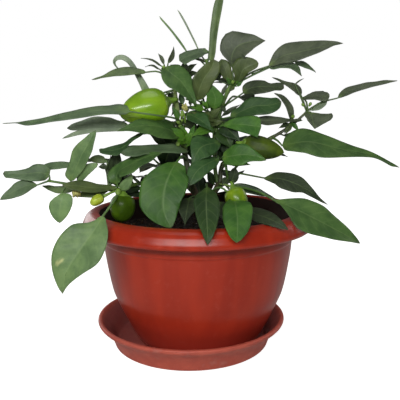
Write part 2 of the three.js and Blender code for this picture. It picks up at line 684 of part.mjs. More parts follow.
// Crumbled top of the soil, highest round the stem.
function soilBump(x, y, z) {
  const r = Math.hypot(x, z);
  if (y < soilHeight - 0.5 || r > 90) return 0;
  const crumbs = 1.4 * Math.sin(0.21 * x + 1) * Math.cos(0.17 * z) + 1.1 * Math.sin(0.37 * x + 0.29 * z);
  return crumbs + 4 * (1 - (r / 90) ** 2);
}

const trunkSolid = joined(trunk.map((part) => stem(part.path, part.radius, 7)));
const trunkRoom = joined(trunk.map((part) => stem(part.path, part.radius, 7, seatGap + 0.1)));
const soil = turned(soilSection, roundSides, upright(potShift), soilBump);
addNode("soil", soil.subtract(trunkRoom), "soil");
addNode("main_stem", trunkSolid, "woodyStem");

// Room left round a carrier's own stem where another spray springs from it.
const stemRoom = { trunk: trunkRoom };
for (const [name, spray] of Object.entries(sprays)) {
  stemRoom[name] = stem(spray.stem, spray.radius, 6, seatGap + 0.2);
}

let number = 0;
for (const [name, spray] of Object.entries(sprays)) {
  const parts = [stem(spray.stem, spray.radius, 5, 0, 1)];
  for (const form of spray.leaves) {
    number += 1;
    parts.push(leafSolid(form, number));
  }
  for (const path of spray.pedicels) parts.push(stem(path, [1.1, 1.2], 4, 0, 1));
  const carried = Object.values(fruits).filter((form) => form.carrier === name);
  for (const form of carried) parts.push(calyx(form));
  let solid = joined(parts);
  for (const form of carried) solid = solid.subtract(fruitSolid(form, seatGap));
  for (const form of Object.values(flowers)) {
    if (form.carrier === name) solid = solid.subtract(flowerSolid(form, seatGap));
  }
  solid = solid.subtract(trunkRoom);
  for (const other of spray.springsFrom) solid = solid.subtract(stemRoom[other]);
  const bodies = solid.decompose().sort((a, b) => b.volume() - a.volume());
  addNode(name, bodies[0], "leaf");
}

const fruitFinish = {
  fruit_large_green: "greenFruit",
  fruit_low_green: "darkFruit",
  fruit_small_young: "yellowFruit",
  fruit_yellow_green: "yellowFruit",
  fruit_olive: "oliveFruit",
};
for (const [name, form] of Object.entries(fruits)) addNode(name, fruitSolid(form), fruitFinish[name]);
for (const [name, form] of Object.entries(flowers)) addNode(name, flowerSolid(form), "driedFlower");

export default plant;
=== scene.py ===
# Potted chilli pepper plant in a bowl-shaped pot on its saucer: everything that is seen of it.
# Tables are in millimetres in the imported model's frame: +Z up, -Y towards the viewer.
import math
import random

import bmesh
import bpy
from mathutils import Matrix, Vector, noise


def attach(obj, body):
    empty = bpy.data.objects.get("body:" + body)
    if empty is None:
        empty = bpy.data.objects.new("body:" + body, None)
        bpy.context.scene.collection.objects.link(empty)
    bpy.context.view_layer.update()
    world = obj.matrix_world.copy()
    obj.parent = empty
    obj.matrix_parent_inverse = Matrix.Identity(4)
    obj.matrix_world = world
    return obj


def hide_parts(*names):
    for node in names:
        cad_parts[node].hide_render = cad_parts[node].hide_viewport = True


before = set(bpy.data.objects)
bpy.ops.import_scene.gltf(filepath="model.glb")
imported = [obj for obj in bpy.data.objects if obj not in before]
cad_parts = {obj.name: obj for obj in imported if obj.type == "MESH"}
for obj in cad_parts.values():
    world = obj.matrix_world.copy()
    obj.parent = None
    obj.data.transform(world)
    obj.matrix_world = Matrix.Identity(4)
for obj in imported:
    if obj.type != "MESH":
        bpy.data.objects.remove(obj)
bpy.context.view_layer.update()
mm = 0.001
print("frame loaded:", len(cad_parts), "nodes")


# Colours and materials

def linear(hexColour):
    channels = [int(hexColour[i:i + 2], 16) / 255 for i in (1, 3, 5)]
    return tuple(c / 12.92 if c <= 0.04045 else ((c + 0.055) / 1.055) ** 2.4 for c in channels) + (1.0,)


# Scale of a pattern whose forms are as big as the given millimetres.
def scaleFor(size):
    return 1 / (size * mm)


# Adds a node, sets its properties and fills its inputs. Nodes and sockets among these are linked,
# a node by its first output in use.
def addNode(tree, kind, inputs=None, **settings):
    made = tree.nodes.new("ShaderNode" + kind)
    for name, value in settings.items():
        setattr(made, name, value)
    for socket, value in (inputs or {}).items():
        if isinstance(value, bpy.types.Node):
            value = next(output for output in value.outputs if output.enabled)
        if isinstance(value, bpy.types.NodeSocket):
            tree.links.new(value, made.inputs[socket])
        else:
            made.inputs[socket].default_value = value
    return made


# A material, its tree and the socket that gives each point's place on its piece.
def newMaterial(name):
    made = bpy.data.materials.new(name)
    made.use_nodes = True
    tree = made.node_tree
    tree.nodes.clear()
    return made, tree, addNode(tree, "TexCoord").outputs["Object"]


mixShare, mixFrom, mixTo = 0, 6, 7  # a Mix node's inputs for colours
noiseSpan = {"From Min": 0.3, "From Max": 0.7}  # where nearly all values of a noise lie

# Side veins leave the midrib in pairs and bend towards the tip. The blade's shape uses the same numbers.
veinLayout = {"pairs": 7, "sweep": 0.2, "curve": 1.3, "relief": 0.55}

# Living chilli leaf: a waxy cuticle gives the upper side a soft sheen over uneven green, with a thin pale
# midrib and side veins that show mostly as soft quilting. The underside is paler and duller.
leafLook = {
    "vein": "#8FA66A", "midribStrength": 0.16, "midribWidth": (0.006, 0.036), "sideStrength": 0.06,
    "sideWidth": 0.12, "patch": 15, "pore": 1.3, "poreDepth": 0.5, "underside": "#6E8262", "wax": 0.05,
    "lightness": (0.74, 1.26), "roughness": (0.46, 0.56), "underRoughness": (0.62, 0.74),
}


def leafMaterial(name, isUnder):
    made, tree, place = newMaterial(name)
    tint = addNode(tree, "Attribute", attribute_name="tint", attribute_type="GEOMETRY")
    uv = addNode(tree, "SeparateXYZ", {0: addNode(tree, "UVMap", uv_map="bladeUv")})
    off = addNode(tree, "Math", {0: uv.outputs["X"], 1: 0.5}, operation="SUBTRACT")
    away = addNode(tree, "Math", {0: off}, operation="ABSOLUTE")
    midrib = addNode(tree, "MapRange", {
        "Value": away, "From Min": leafLook["midribWidth"][0], "From Max": leafLook["midribWidth"][1],
        "To Min": leafLook["midribStrength"], "To Max": 0.0}, interpolation_type="SMOOTHSTEP")
    bend = addNode(tree, "Math", {0: away, 1: veinLayout["curve"]}, operation="POWER")
    back = addNode(tree, "Math", {0: bend, 1: veinLayout["sweep"] * 2 ** veinLayout["curve"]},
                   operation="MULTIPLY")
    run = addNode(tree, "Math", {0: uv.outputs["Y"], 1: back}, operation="SUBTRACT")
    count = addNode(tree, "Math", {0: run, 1: veinLayout["pairs"]}, operation="MULTIPLY")
    gap = addNode(tree, "Math", {0: count, 1: 0.5}, operation="PINGPONG")
    side = addNode(tree, "MapRange", {
        "Value": gap, "From Min": 0.0, "From Max": leafLook["sideWidth"],
        "To Min": leafLook["sideStrength"], "To Max": 0.0}, interpolation_type="SMOOTHSTEP")
    veins = addNode(tree, "Math", {0: midrib, 1: side}, operation="MAXIMUM")
    patches = addNode(tree, "TexNoise", {"Vector": place, "Scale": scaleFor(leafLook["patch"]),
                                         "Detail": 5.0, "Roughness": 0.6})
    pores = addNode(tree, "TexNoise", {"Vector": place, "Scale": scaleFor(leafLook["pore"]), "Detail": 3.0})
    light = addNode(tree, "MapRange", {
        "Value": patches, **noiseSpan, "To Min": leafLook["lightness"][0],
        "To Max": leafLook["lightness"][1]}, interpolation_type="SMOOTHSTEP")
    turn = addNode(tree, "MapRange", {"Value": patches, **noiseSpan, "To Min": 0.512, "To Max": 0.488})
    colour = addNode(tree, "HueSaturation", {"Hue": turn, "Value": light, "Color": tint})
    if isUnder:
        pale = addNode(tree, "MapRange", {"Value": patches, **noiseSpan, "To Min": 0.3, "To Max": 0.5})
        colour = addNode(tree, "Mix", {mixShare: pale, mixFrom: colour,
                                       mixTo: linear(leafLook["underside"])}, data_type="RGBA")
    veined = addNode(tree, "Mix", {mixShare: veins, mixFrom: colour, mixTo: linear(leafLook["vein"])},
                     data_type="RGBA")
    grain = addNode(tree, "Math", {0: pores, 1: leafLook["poreDepth"]}, operation="MULTIPLY")
    height = addNode(tree, "Math", {0: grain, 1: veins}, operation="SUBTRACT")
    bump = addNode(tree, "Bump", {"Height": height, "Strength": 0.45, "Distance": 0.5 * mm}, invert=isUnder)
    dull = leafLook["underRoughness" if isUnder else "roughness"]
    rough = addNode(tree, "MapRange", {"Value": patches, **noiseSpan, "To Min": dull[0], "To Max": dull[1]})
    shader = addNode(tree, "BsdfPrincipled", {
        "Base Color": veined, "Roughness": rough, "IOR": 1.42, "Normal": bump, "Specular IOR Level": 0.3,
        "Coat Weight": 0.0 if isUnder else leafLook["wax"], "Coat Roughness": 0.3})
    addNode(tree, "OutputMaterial", {"Surface": shader})
    return made


# Young green shoot: smooth, faintly streaked skin. The tint attribute carries its paler joints.
shootLook = {"streak": 5, "grain": 0.909, "skinRoughness": 0.5, "petalRoughness": 0.85}


def shootMaterial(name, roughness):
    made, tree, place = newMaterial(name)
    tint = addNode(tree, "Attribute", attribute_name="tint", attribute_type="GEOMETRY")
    streaks = addNode(tree, "TexNoise", {"Vector": place, "Scale": scaleFor(shootLook["streak"]),
                                         "Detail": 3.0})
    fine = addNode(tree, "TexNoise", {"Vector": place, "Scale": scaleFor(shootLook["grain"]), "Detail": 2.0})
    value = addNode(tree, "MapRange", {"Value": streaks, **noiseSpan, "To Min": 0.78, "To Max": 1.22})
    toned = addNode(tree, "HueSaturation", {"Value": value, "Color": tint})
    bump = addNode(tree, "Bump", {"Height": fine, "Strength": 0.25, "Distance": 0.4 * mm})
    rough = addNode(tree, "MapRange", {"Value": fine, **noiseSpan, "To Min": roughness - 0.06,
                                       "To Max": roughness + 0.08})
    shader = addNode(tree, "BsdfPrincipled", {"Base Color": toned, "Roughness": rough, "IOR": 1.42,
                                              "Normal": bump})
    addNode(tree, "OutputMaterial", {"Surface": shader})
    return made


# Woody foot of the stem: dull olive bark with brown cork patches and lengthwise cracks.
woodLook = {"green": "#4B5230", "cork": "#4A3B29", "crack": "#241D14", "patch": 9, "crackWidth": 1.2,
            "crackLength": 0.16}


def woodMaterial():
    made, tree, place = newMaterial("woodyStemBark")
    tall = addNode(tree, "Mapping", {"Vector": place, "Scale": (1, 1, woodLook["crackLength"])})
    patches = addNode(tree, "TexNoise", {"Vector": place, "Scale": scaleFor(woodLook["patch"]),
                                         "Detail": 4.0})
    cracks = addNode(tree, "TexNoise", {"Vector": tall, "Scale": scaleFor(woodLook["crackWidth"]),
                                        "Detail": 3.0})
    cork = addNode(tree, "MapRange", {"Value": patches, "From Min": 0.4, "From Max": 0.62})
    dark = addNode(tree, "MapRange", {"Value": cracks, "From Min": 0.3, "From Max": 0.48, "To Min": 0.7,
                                      "To Max": 0.0})
    bark = addNode(tree, "Mix", {mixShare: cork, mixFrom: linear(woodLook["green"]),
                                 mixTo: linear(woodLook["cork"])}, data_type="RGBA")
    cracked = addNode(tree, "Mix", {mixShare: dark, mixFrom: bark, mixTo: linear(woodLook["crack"])},
                      data_type="RGBA")
    bump = addNode(tree, "Bump", {"Height": cracks, "Strength": 0.6, "Distance": 0.8 * mm})
    rough = addNode(tree, "MapRange", {"Value": cracks, "To Min": 0.92, "To Max": 0.7})
    shader = addNode(tree, "BsdfPrincipled", {"Base Color": cracked, "Roughness": rough, "IOR": 1.45,
                                              "Normal": bump})
    addNode(tree, "OutputMaterial", {"Surface": shader})
    return made


# Chilli fruit: taut skin that drifts slowly between two greens under faint pale dots. Its wax is soft,
# so only the large fruit's coat gives clear highlights.
def fruitMaterial(name, look):
    made, tree, place = newMaterial(name)
    patches = addNode(tree, "TexNoise", {"Vector": place, "Scale": scaleFor(look["radius"]), "Detail": 2.0})
    dots = addNode(tree, "TexNoise", {"Vector": place, "Scale": scaleFor(fruitShape["dot"]), "Detail": 2.0})
    drift = addNode(tree, "MapRange", {"Value": patches, "From Min": 0.36, "From Max": 0.64})
    colour = addNode(tree, "Mix", {mixShare: drift, mixFrom: linear(look["skin"]),
                                   mixTo: linear(look["flush"])}, data_type="RGBA")
    value = addNode(tree, "MapRange", {"Value": dots, **noiseSpan, "To Min": 0.94, "To Max": 1.07})
    toned = addNode(tree, "HueSaturation", {"Value": value, "Color": colour})
    bump = addNode(tree, "Bump", {"Height": dots, "Strength": 0.03, "Distance": 0.2 * mm})
    rough = addNode(tree, "MapRange", {"Value": patches, "To Min": 0.3, "To Max": 0.38})
    shader = addNode(tree, "BsdfPrincipled", {
        "Base Color": toned, "Roughness": rough, "IOR": 1.45, "Specular IOR Level": look["shine"],
        "Coat Weight": look["coat"], "Coat Roughness": 0.16, "Normal": bump})
    addNode(tree, "OutputMaterial", {"Surface": shader})
    return made


# Pot of injection-moulded polypropylene: satin gloss with faint upright flow bands, light scuffs and a
# paler, greyer red towards the foot. Below the rim its inside is darkened nearly to black, partly a stain of
# wet peat and partly painted shade of the shadowed inner wall.
potLook = {"body": "#A02C14", "band": "#902410", "scuff": "#B4584A", "foot": "#AE3629", "stainShade": "#1E1712",
           "bandWidth": 16, "bandHeight": 0.05, "scuffSize": 7, "peel": 1.5, "footBlend": (12, 62),
           "roughness": (0.29, 0.35)}


def potMaterial():
    made, tree, place = newMaterial("mouldedPotPolypropylene")
    tall = addNode(tree, "Mapping", {"Vector": place, "Scale": (1, 1, potLook["bandHeight"])})
    bands = addNode(tree, "TexNoise", {"Vector": tall, "Scale": scaleFor(potLook["bandWidth"]),
                                       "Detail": 2.0})
    scuffs = addNode(tree, "TexNoise", {"Vector": place, "Scale": scaleFor(potLook["scuffSize"]),
                                        "Detail": 6.0, "Roughness": 0.65})
    peel = addNode(tree, "TexNoise", {"Vector": place, "Scale": scaleFor(potLook["peel"]), "Detail": 2.0})
    band = addNode(tree, "MapRange", {"Value": bands, "From Min": 0.35, "From Max": 0.65})
    scuff = addNode(tree, "MapRange", {"Value": scuffs, "From Min": 0.56, "From Max": 0.76, "To Max": 0.2})
    body = addNode(tree, "Mix", {mixShare: band, mixFrom: linear(potLook["body"]),
                                 mixTo: linear(potLook["band"])}, data_type="RGBA")
    level = addNode(tree, "SeparateXYZ", {0: place}).outputs["Z"]
    # Paler, greyer red towards the foot.
    footBlend = addNode(tree, "MapRange", {
        "Value": level, "From Min": potLook["footBlend"][0] * mm, "From Max": potLook["footBlend"][1] * mm,
        "To Min": 0.9, "To Max": 0.0}, interpolation_type="SMOOTHSTEP")
    footToned = addNode(tree, "Mix", {mixShare: footBlend, mixFrom: body, mixTo: linear(potLook["foot"])},
                    data_type="RGBA")
    worn = addNode(tree, "Mix", {mixShare: scuff, mixFrom: footToned, mixTo: linear(potLook["scuff"])},
                   data_type="RGBA")
    # Inside below the rim: darkened nearly to black, a peat stain together with painted shade of the shadowed
    # inner wall.
    inside = addNode(tree, "Attribute", attribute_name="stainAndShade", attribute_type="GEOMETRY").outputs["Fac"]
    ragged = addNode(tree, "Math", {0: inside, 1: scuffs}, operation="MULTIPLY")
    stainShade = addNode(tree, "MapRange", {"Value": ragged, "From Min": 0.1, "From Max": 0.28, "To Max": 0.97})
    stainAndShade = addNode(tree, "Mix", {mixShare: stainShade, mixFrom: worn, mixTo: linear(potLook["stainShade"])},
                     data_type="RGBA")
    ribs = addNode(tree, "Math", {0: bands, 1: 1.2}, operation="MULTIPLY")
    fine = addNode(tree, "Math", {0: peel, 1: 0.12}, operation="MULTIPLY")
    height = addNode(tree, "Math", {0: ribs, 1: fine}, operation="ADD")
    bump = addNode(tree, "Bump", {"Height": height, "Strength": 0.25, "Distance": 0.6 * mm})
    gloss = addNode(tree, "MapRange", {"Value": scuffs, **noiseSpan, "To Min": potLook["roughness"][0],
                                       "To Max": potLook["roughness"][1]})
    rough = addNode(tree, "Math", {0: gloss, 1: stainShade}, operation="MAXIMUM")
    shader = addNode(tree, "BsdfPrincipled", {"Base Color": stainAndShade, "Roughness": rough, "IOR": 1.49,
                                              "Specular IOR Level": 0.31, "Normal": bump})
    addNode(tree, "OutputMaterial", {"Surface": shader})
    return made


# Saucer of the same plastic in a duller batch: chalky water marks, faint turning rings from the mould,
# and inside a darker film that is partly dried, soiled water and partly painted shade.
saucerLook = {"body": "#BB5A48", "shade": "#AB4E40", "chalk": "#C8968A", "stainShade": "#6C3B3E", "ring": 3.2,
              "mark": 14}


def saucerMaterial():
    made, tree, place = newMaterial("mouldedSaucerPlastic")
    flat = addNode(tree, "VectorMath", {0: place, 1: (1, 1, 0)}, operation="MULTIPLY")
    reach = addNode(tree, "VectorMath", {0: flat}, operation="LENGTH")
    rings = addNode(tree, "TexNoise", {"W": reach, "Scale": scaleFor(saucerLook["ring"]), "Detail": 1.0},
                    noise_dimensions="1D")
    marks = addNode(tree, "TexNoise", {"Vector": place, "Scale": scaleFor(saucerLook["mark"]),
                                       "Detail": 6.0, "Roughness": 0.6})
    shade = addNode(tree, "MapRange", {"Value": marks, "From Min": 0.35, "From Max": 0.65})
    chalk = addNode(tree, "MapRange", {"Value": marks, "From Min": 0.58, "From Max": 0.8, "To Max": 0.35})
    body = addNode(tree, "Mix", {mixShare: shade, mixFrom: linear(saucerLook["body"]),
                                 mixTo: linear(saucerLook["shade"])}, data_type="RGBA")
    marked = addNode(tree, "Mix", {mixShare: chalk, mixFrom: body, mixTo: linear(saucerLook["chalk"])},
                     data_type="RGBA")
    # Inside: darkened, partly by a film of dried water and partly as painted shade.
    inside = addNode(tree, "Attribute", attribute_name="stainAndShade", attribute_type="GEOMETRY").outputs["Fac"]
    stainShade = addNode(tree, "MapRange", {"Value": inside, "To Max": 0.6})
    stainAndShade = addNode(tree, "Mix", {mixShare: stainShade, mixFrom: marked, mixTo: linear(saucerLook["stainShade"])},
                     data_type="RGBA")
    bump = addNode(tree, "Bump", {"Height": rings, "Strength": 0.12, "Distance": 0.4 * mm})
    rough = addNode(tree, "MapRange", {"Value": marks, **noiseSpan, "To Min": 0.42, "To Max": 0.58})
    shader = addNode(tree, "BsdfPrincipled", {"Base Color": stainAndShade, "Roughness": rough, "IOR": 1.49,
                                              "Specular IOR Level": 0.3, "Normal": bump})
    addNode(tree, "OutputMaterial", {"Surface": shader})
    return made


# Peat, bark and perlite: matt, crumbly and soft-edged, each in its own pair of tones.
crumbLook = {"peatPottingSoil": ("#1E1611", "#40302A"), "barkCrumbs": ("#2C2018", "#55402F"),
             "perliteGrains": ("#8F8A7E", "#C6C1B4"), "crumb": 3.5, "grit": 0.9}


def crumbMaterial(name):
    made, tree, place = newMaterial(name)
    crumbs = addNode(tree, "TexNoise", {"Vector": place, "Scale": scaleFor(crumbLook["crumb"]),
                                        "Detail": 6.0})
    grit = addNode(tree, "TexNoise", {"Vector": place, "Scale": scaleFor(crumbLook["grit"]), "Detail": 4.0})
    share = addNode(tree, "MapRange", {"Value": crumbs, "From Min": 0.42, "From Max": 0.7})
    wet, dry = crumbLook[name]
    colour = addNode(tree, "Mix", {mixShare: share, mixFrom: linear(wet), mixTo: linear(dry)},
                     data_type="RGBA")
    bump = addNode(tree, "Bump", {"Height": grit, "Strength": 0.9, "Distance": 1.2 * mm})
    rough = addNode(tree, "MapRange", {"Value": grit, "To Min": 0.82, "To Max": 1.0})
    shader = addNode(tree, "BsdfPrincipled", {"Base Color": colour, "Roughness": rough, "IOR": 1.4,
                                              "Normal": bump})
    addNode(tree, "OutputMaterial", {"Surface": shader})
    return made


foliageMaterials = [leafMaterial("chilliLeafUpperSide", False), leafMaterial("chilliLeafUnderside", True),
                    shootMaterial("greenShootSkin", shootLook["skinRoughness"]),
                    shootMaterial("driedPetal", shootLook["petalRoughness"])]
upperSide, underSide, shootSkin, dryPetal = range(4)
print("materials made")


# Mesh helpers: each part is made in a mesh of its own, then poured into its piece.
scratchMesh = bpy.data.meshes.new("scratch")


def clamp(value, low=0.0, high=1.0):
    return min(max(value, low), high)


# Point on a smooth curve through the given points, t from 0 to 1.
def curvePoint(points, t):
    last = len(points) - 1
    at = clamp(t) * last
    i = min(int(at), last - 1)
    w = at - i
    p1, p2 = points[i], points[i + 1]
    p0 = points[i - 1] if i > 0 else p1 * 2 - p2
    p3 = points[i + 2] if i + 2 <= last else p2 * 2 - p1
    d0, d1, d2 = [max((b - a).length, 1e-6) ** 0.5 for a, b in ((p0, p1), (p1, p2), (p2, p3))]
    m1 = ((p1 - p0) / d0 - (p2 - p0) / (d0 + d1) + (p2 - p1) / d1) * d1
    m2 = ((p2 - p1) / d1 - (p3 - p1) / (d1 + d2) + (p3 - p2) / d2) * d1
    return p1 + m1 * w + (3 * (p2 - p1) - 2 * m1 - m2) * w ** 2 + (2 * (p1 - p2) + m1 + m2) * w ** 3


# Points at even steps of such a curve.
def curveSteps(points, steps):
    return [curvePoint(points, i / steps) for i in range(steps + 1)]


def curveLength(points):
    return sum((b - a).length for a, b in zip(points, points[1:]))


def foliageMesh():
    bm = bmesh.new()
    bm.verts.layers.float_color.new("tint")
    bm.loops.layers.uv.new("bladeUv")
    return bm


def paint(bm, tint, material):
    layer = bm.verts.layers.float_color["tint"]
    for vert in bm.verts:
        vert[layer] = tint
    for face in bm.faces:
        face.material_index = material


# Adds a finished part to the mesh it belongs to.
def pour(bm, target):
    bm.to_mesh(scratchMesh)
    bm.free()
    target.from_mesh(scratchMesh)


# A round tube grown ring by ring along the centres, closed at both ends.
def growTube(centres, radii, sides, tint, material=shootSkin):
    bm = foliageMesh()
    side = (centres[1] - centres[0]).orthogonal().normalized()
    edges, startEdges, before = [], [], None
    for i, centre in enumerate(centres):
        way = (centres[min(i + 1, len(centres) - 1)] - centres[max(i - 1, 0)]).normalized()
        side = (side - way * side.dot(way)).normalized()
        turn = Matrix((side, way.cross(side), way)).transposed().to_4x4()
        place = Matrix.Translation(centre) @ turn @ Matrix.Scale(radii[i], 4)
        if i == 0:
            ring = bmesh.ops.create_circle(bm, segments=sides, radius=1.0, matrix=place)["verts"]
            edges = startEdges = list({e for v in ring for e in v.link_edges})
        else:
            grown = bmesh.ops.extrude_edge_only(bm, edges=edges)["geom"]
            ring = {g for g in grown if isinstance(g, bmesh.types.BMVert)}
            edges = [g for g in grown if isinstance(g, bmesh.types.BMEdge) and ring.issuperset(g.verts)]
            bmesh.ops.transform(bm, matrix=place @ before.inverted(), verts=list(ring))
        before = place
    bmesh.ops.contextual_create(bm, geom=startEdges)
    bmesh.ops.contextual_create(bm, geom=edges)
    bmesh.ops.recalc_face_normals(bm, faces=bm.faces)
    paint(bm, tint, material)
    return bm


# A solid turned about +Z from a half section of (radius, height).
def turnSection(section, steps):
    bm = foliageMesh()
    row = [bm.verts.new((r, 0, h)) for r, h in section]
    edges = [bm.edges.new(pair) for pair in zip(row, row[1:])]
    bmesh.ops.spin(bm, geom=row + edges, cent=(0, 0, 0), axis=(0, 0, 1), angle=2 * math.pi, steps=steps,
                   use_merge=True)
    bmesh.ops.remove_doubles(bm, verts=bm.verts, dist=1e-4)
    bmesh.ops.recalc_face_normals(bm, faces=bm.faces)
    return bm


# Smooths each run of a section, each from the end of the one before, with crisp corners between them.
def smoothSection(runs, finest=3.0):
    section, corner = [], []
    for run in runs:
        points = [Vector((r, h, 0)) for r, h in corner + run]
        steps = max(1, round(curveLength(points) / finest)) if len(points) > 2 else 1
        for p in curveSteps(points, steps):
            if not section or (Vector(section[-1]) - p.to_2d()).length > 1e-3:
                section.append((p.x, p.y))
        corner = run[-1:]
    return section


# Turn and place of a part whose foot is at start and whose +Z looks to end.
def layAlong(start, end):
    start, end = Vector(start), Vector(end)
    return Matrix.Translation(start) @ (end - start).to_track_quat("Z", "Y").to_matrix().to_4x4()


# Multiplies each point's distance from the part's axis by what factor gives for its turn and place.
def swell(bm, factor):
    for vert in bm.verts:
        grow = factor(math.atan2(vert.co.y, vert.co.x), vert.co)
        vert.co.x *= grow
        vert.co.y *= grow


def newPiece(name, bm, materials, slot, *nodes):
    bmesh.ops.scale(bm, vec=(mm, mm, mm), verts=bm.verts)
    mesh = bpy.data.meshes.new(name)
    bm.to_mesh(mesh)
    bm.free()
    piece = bpy.data.objects.new(name, mesh)
    bpy.context.scene.collection.objects.link(piece)
    for material in materials:
        mesh.materials.append(material)
    mesh.shade_smooth()
    if nodes:
        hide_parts(*nodes)
    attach(piece, "root")


# A leaf: its petiole's path from inside the stem to the foot of the blade, the blade's tip, its width,
# the way its upper side looks, its tone, and its fold in degrees. A blade of its own outline then has
# points along its midrib, and the half widths of its two sides at edgeStations. Others arch by bow.
def leaf(path, tip, width, face, tone, fold=14, mid=None, oneSide=(), otherSide=(), bow=2, scar=None):
    return {"path": path, "tip": tip, "width": width, "face": face, "tone": tone, "fold": fold, "mid": mid,
            "edges": (oneSide, otherSide), "bow": bow, "scar": scar}


edgeStations = (0, 0.03, 0.09, 0.2, 0.35, 0.5, 0.65, 0.8, 0.91, 0.97, 1)  # shares of the blade's length

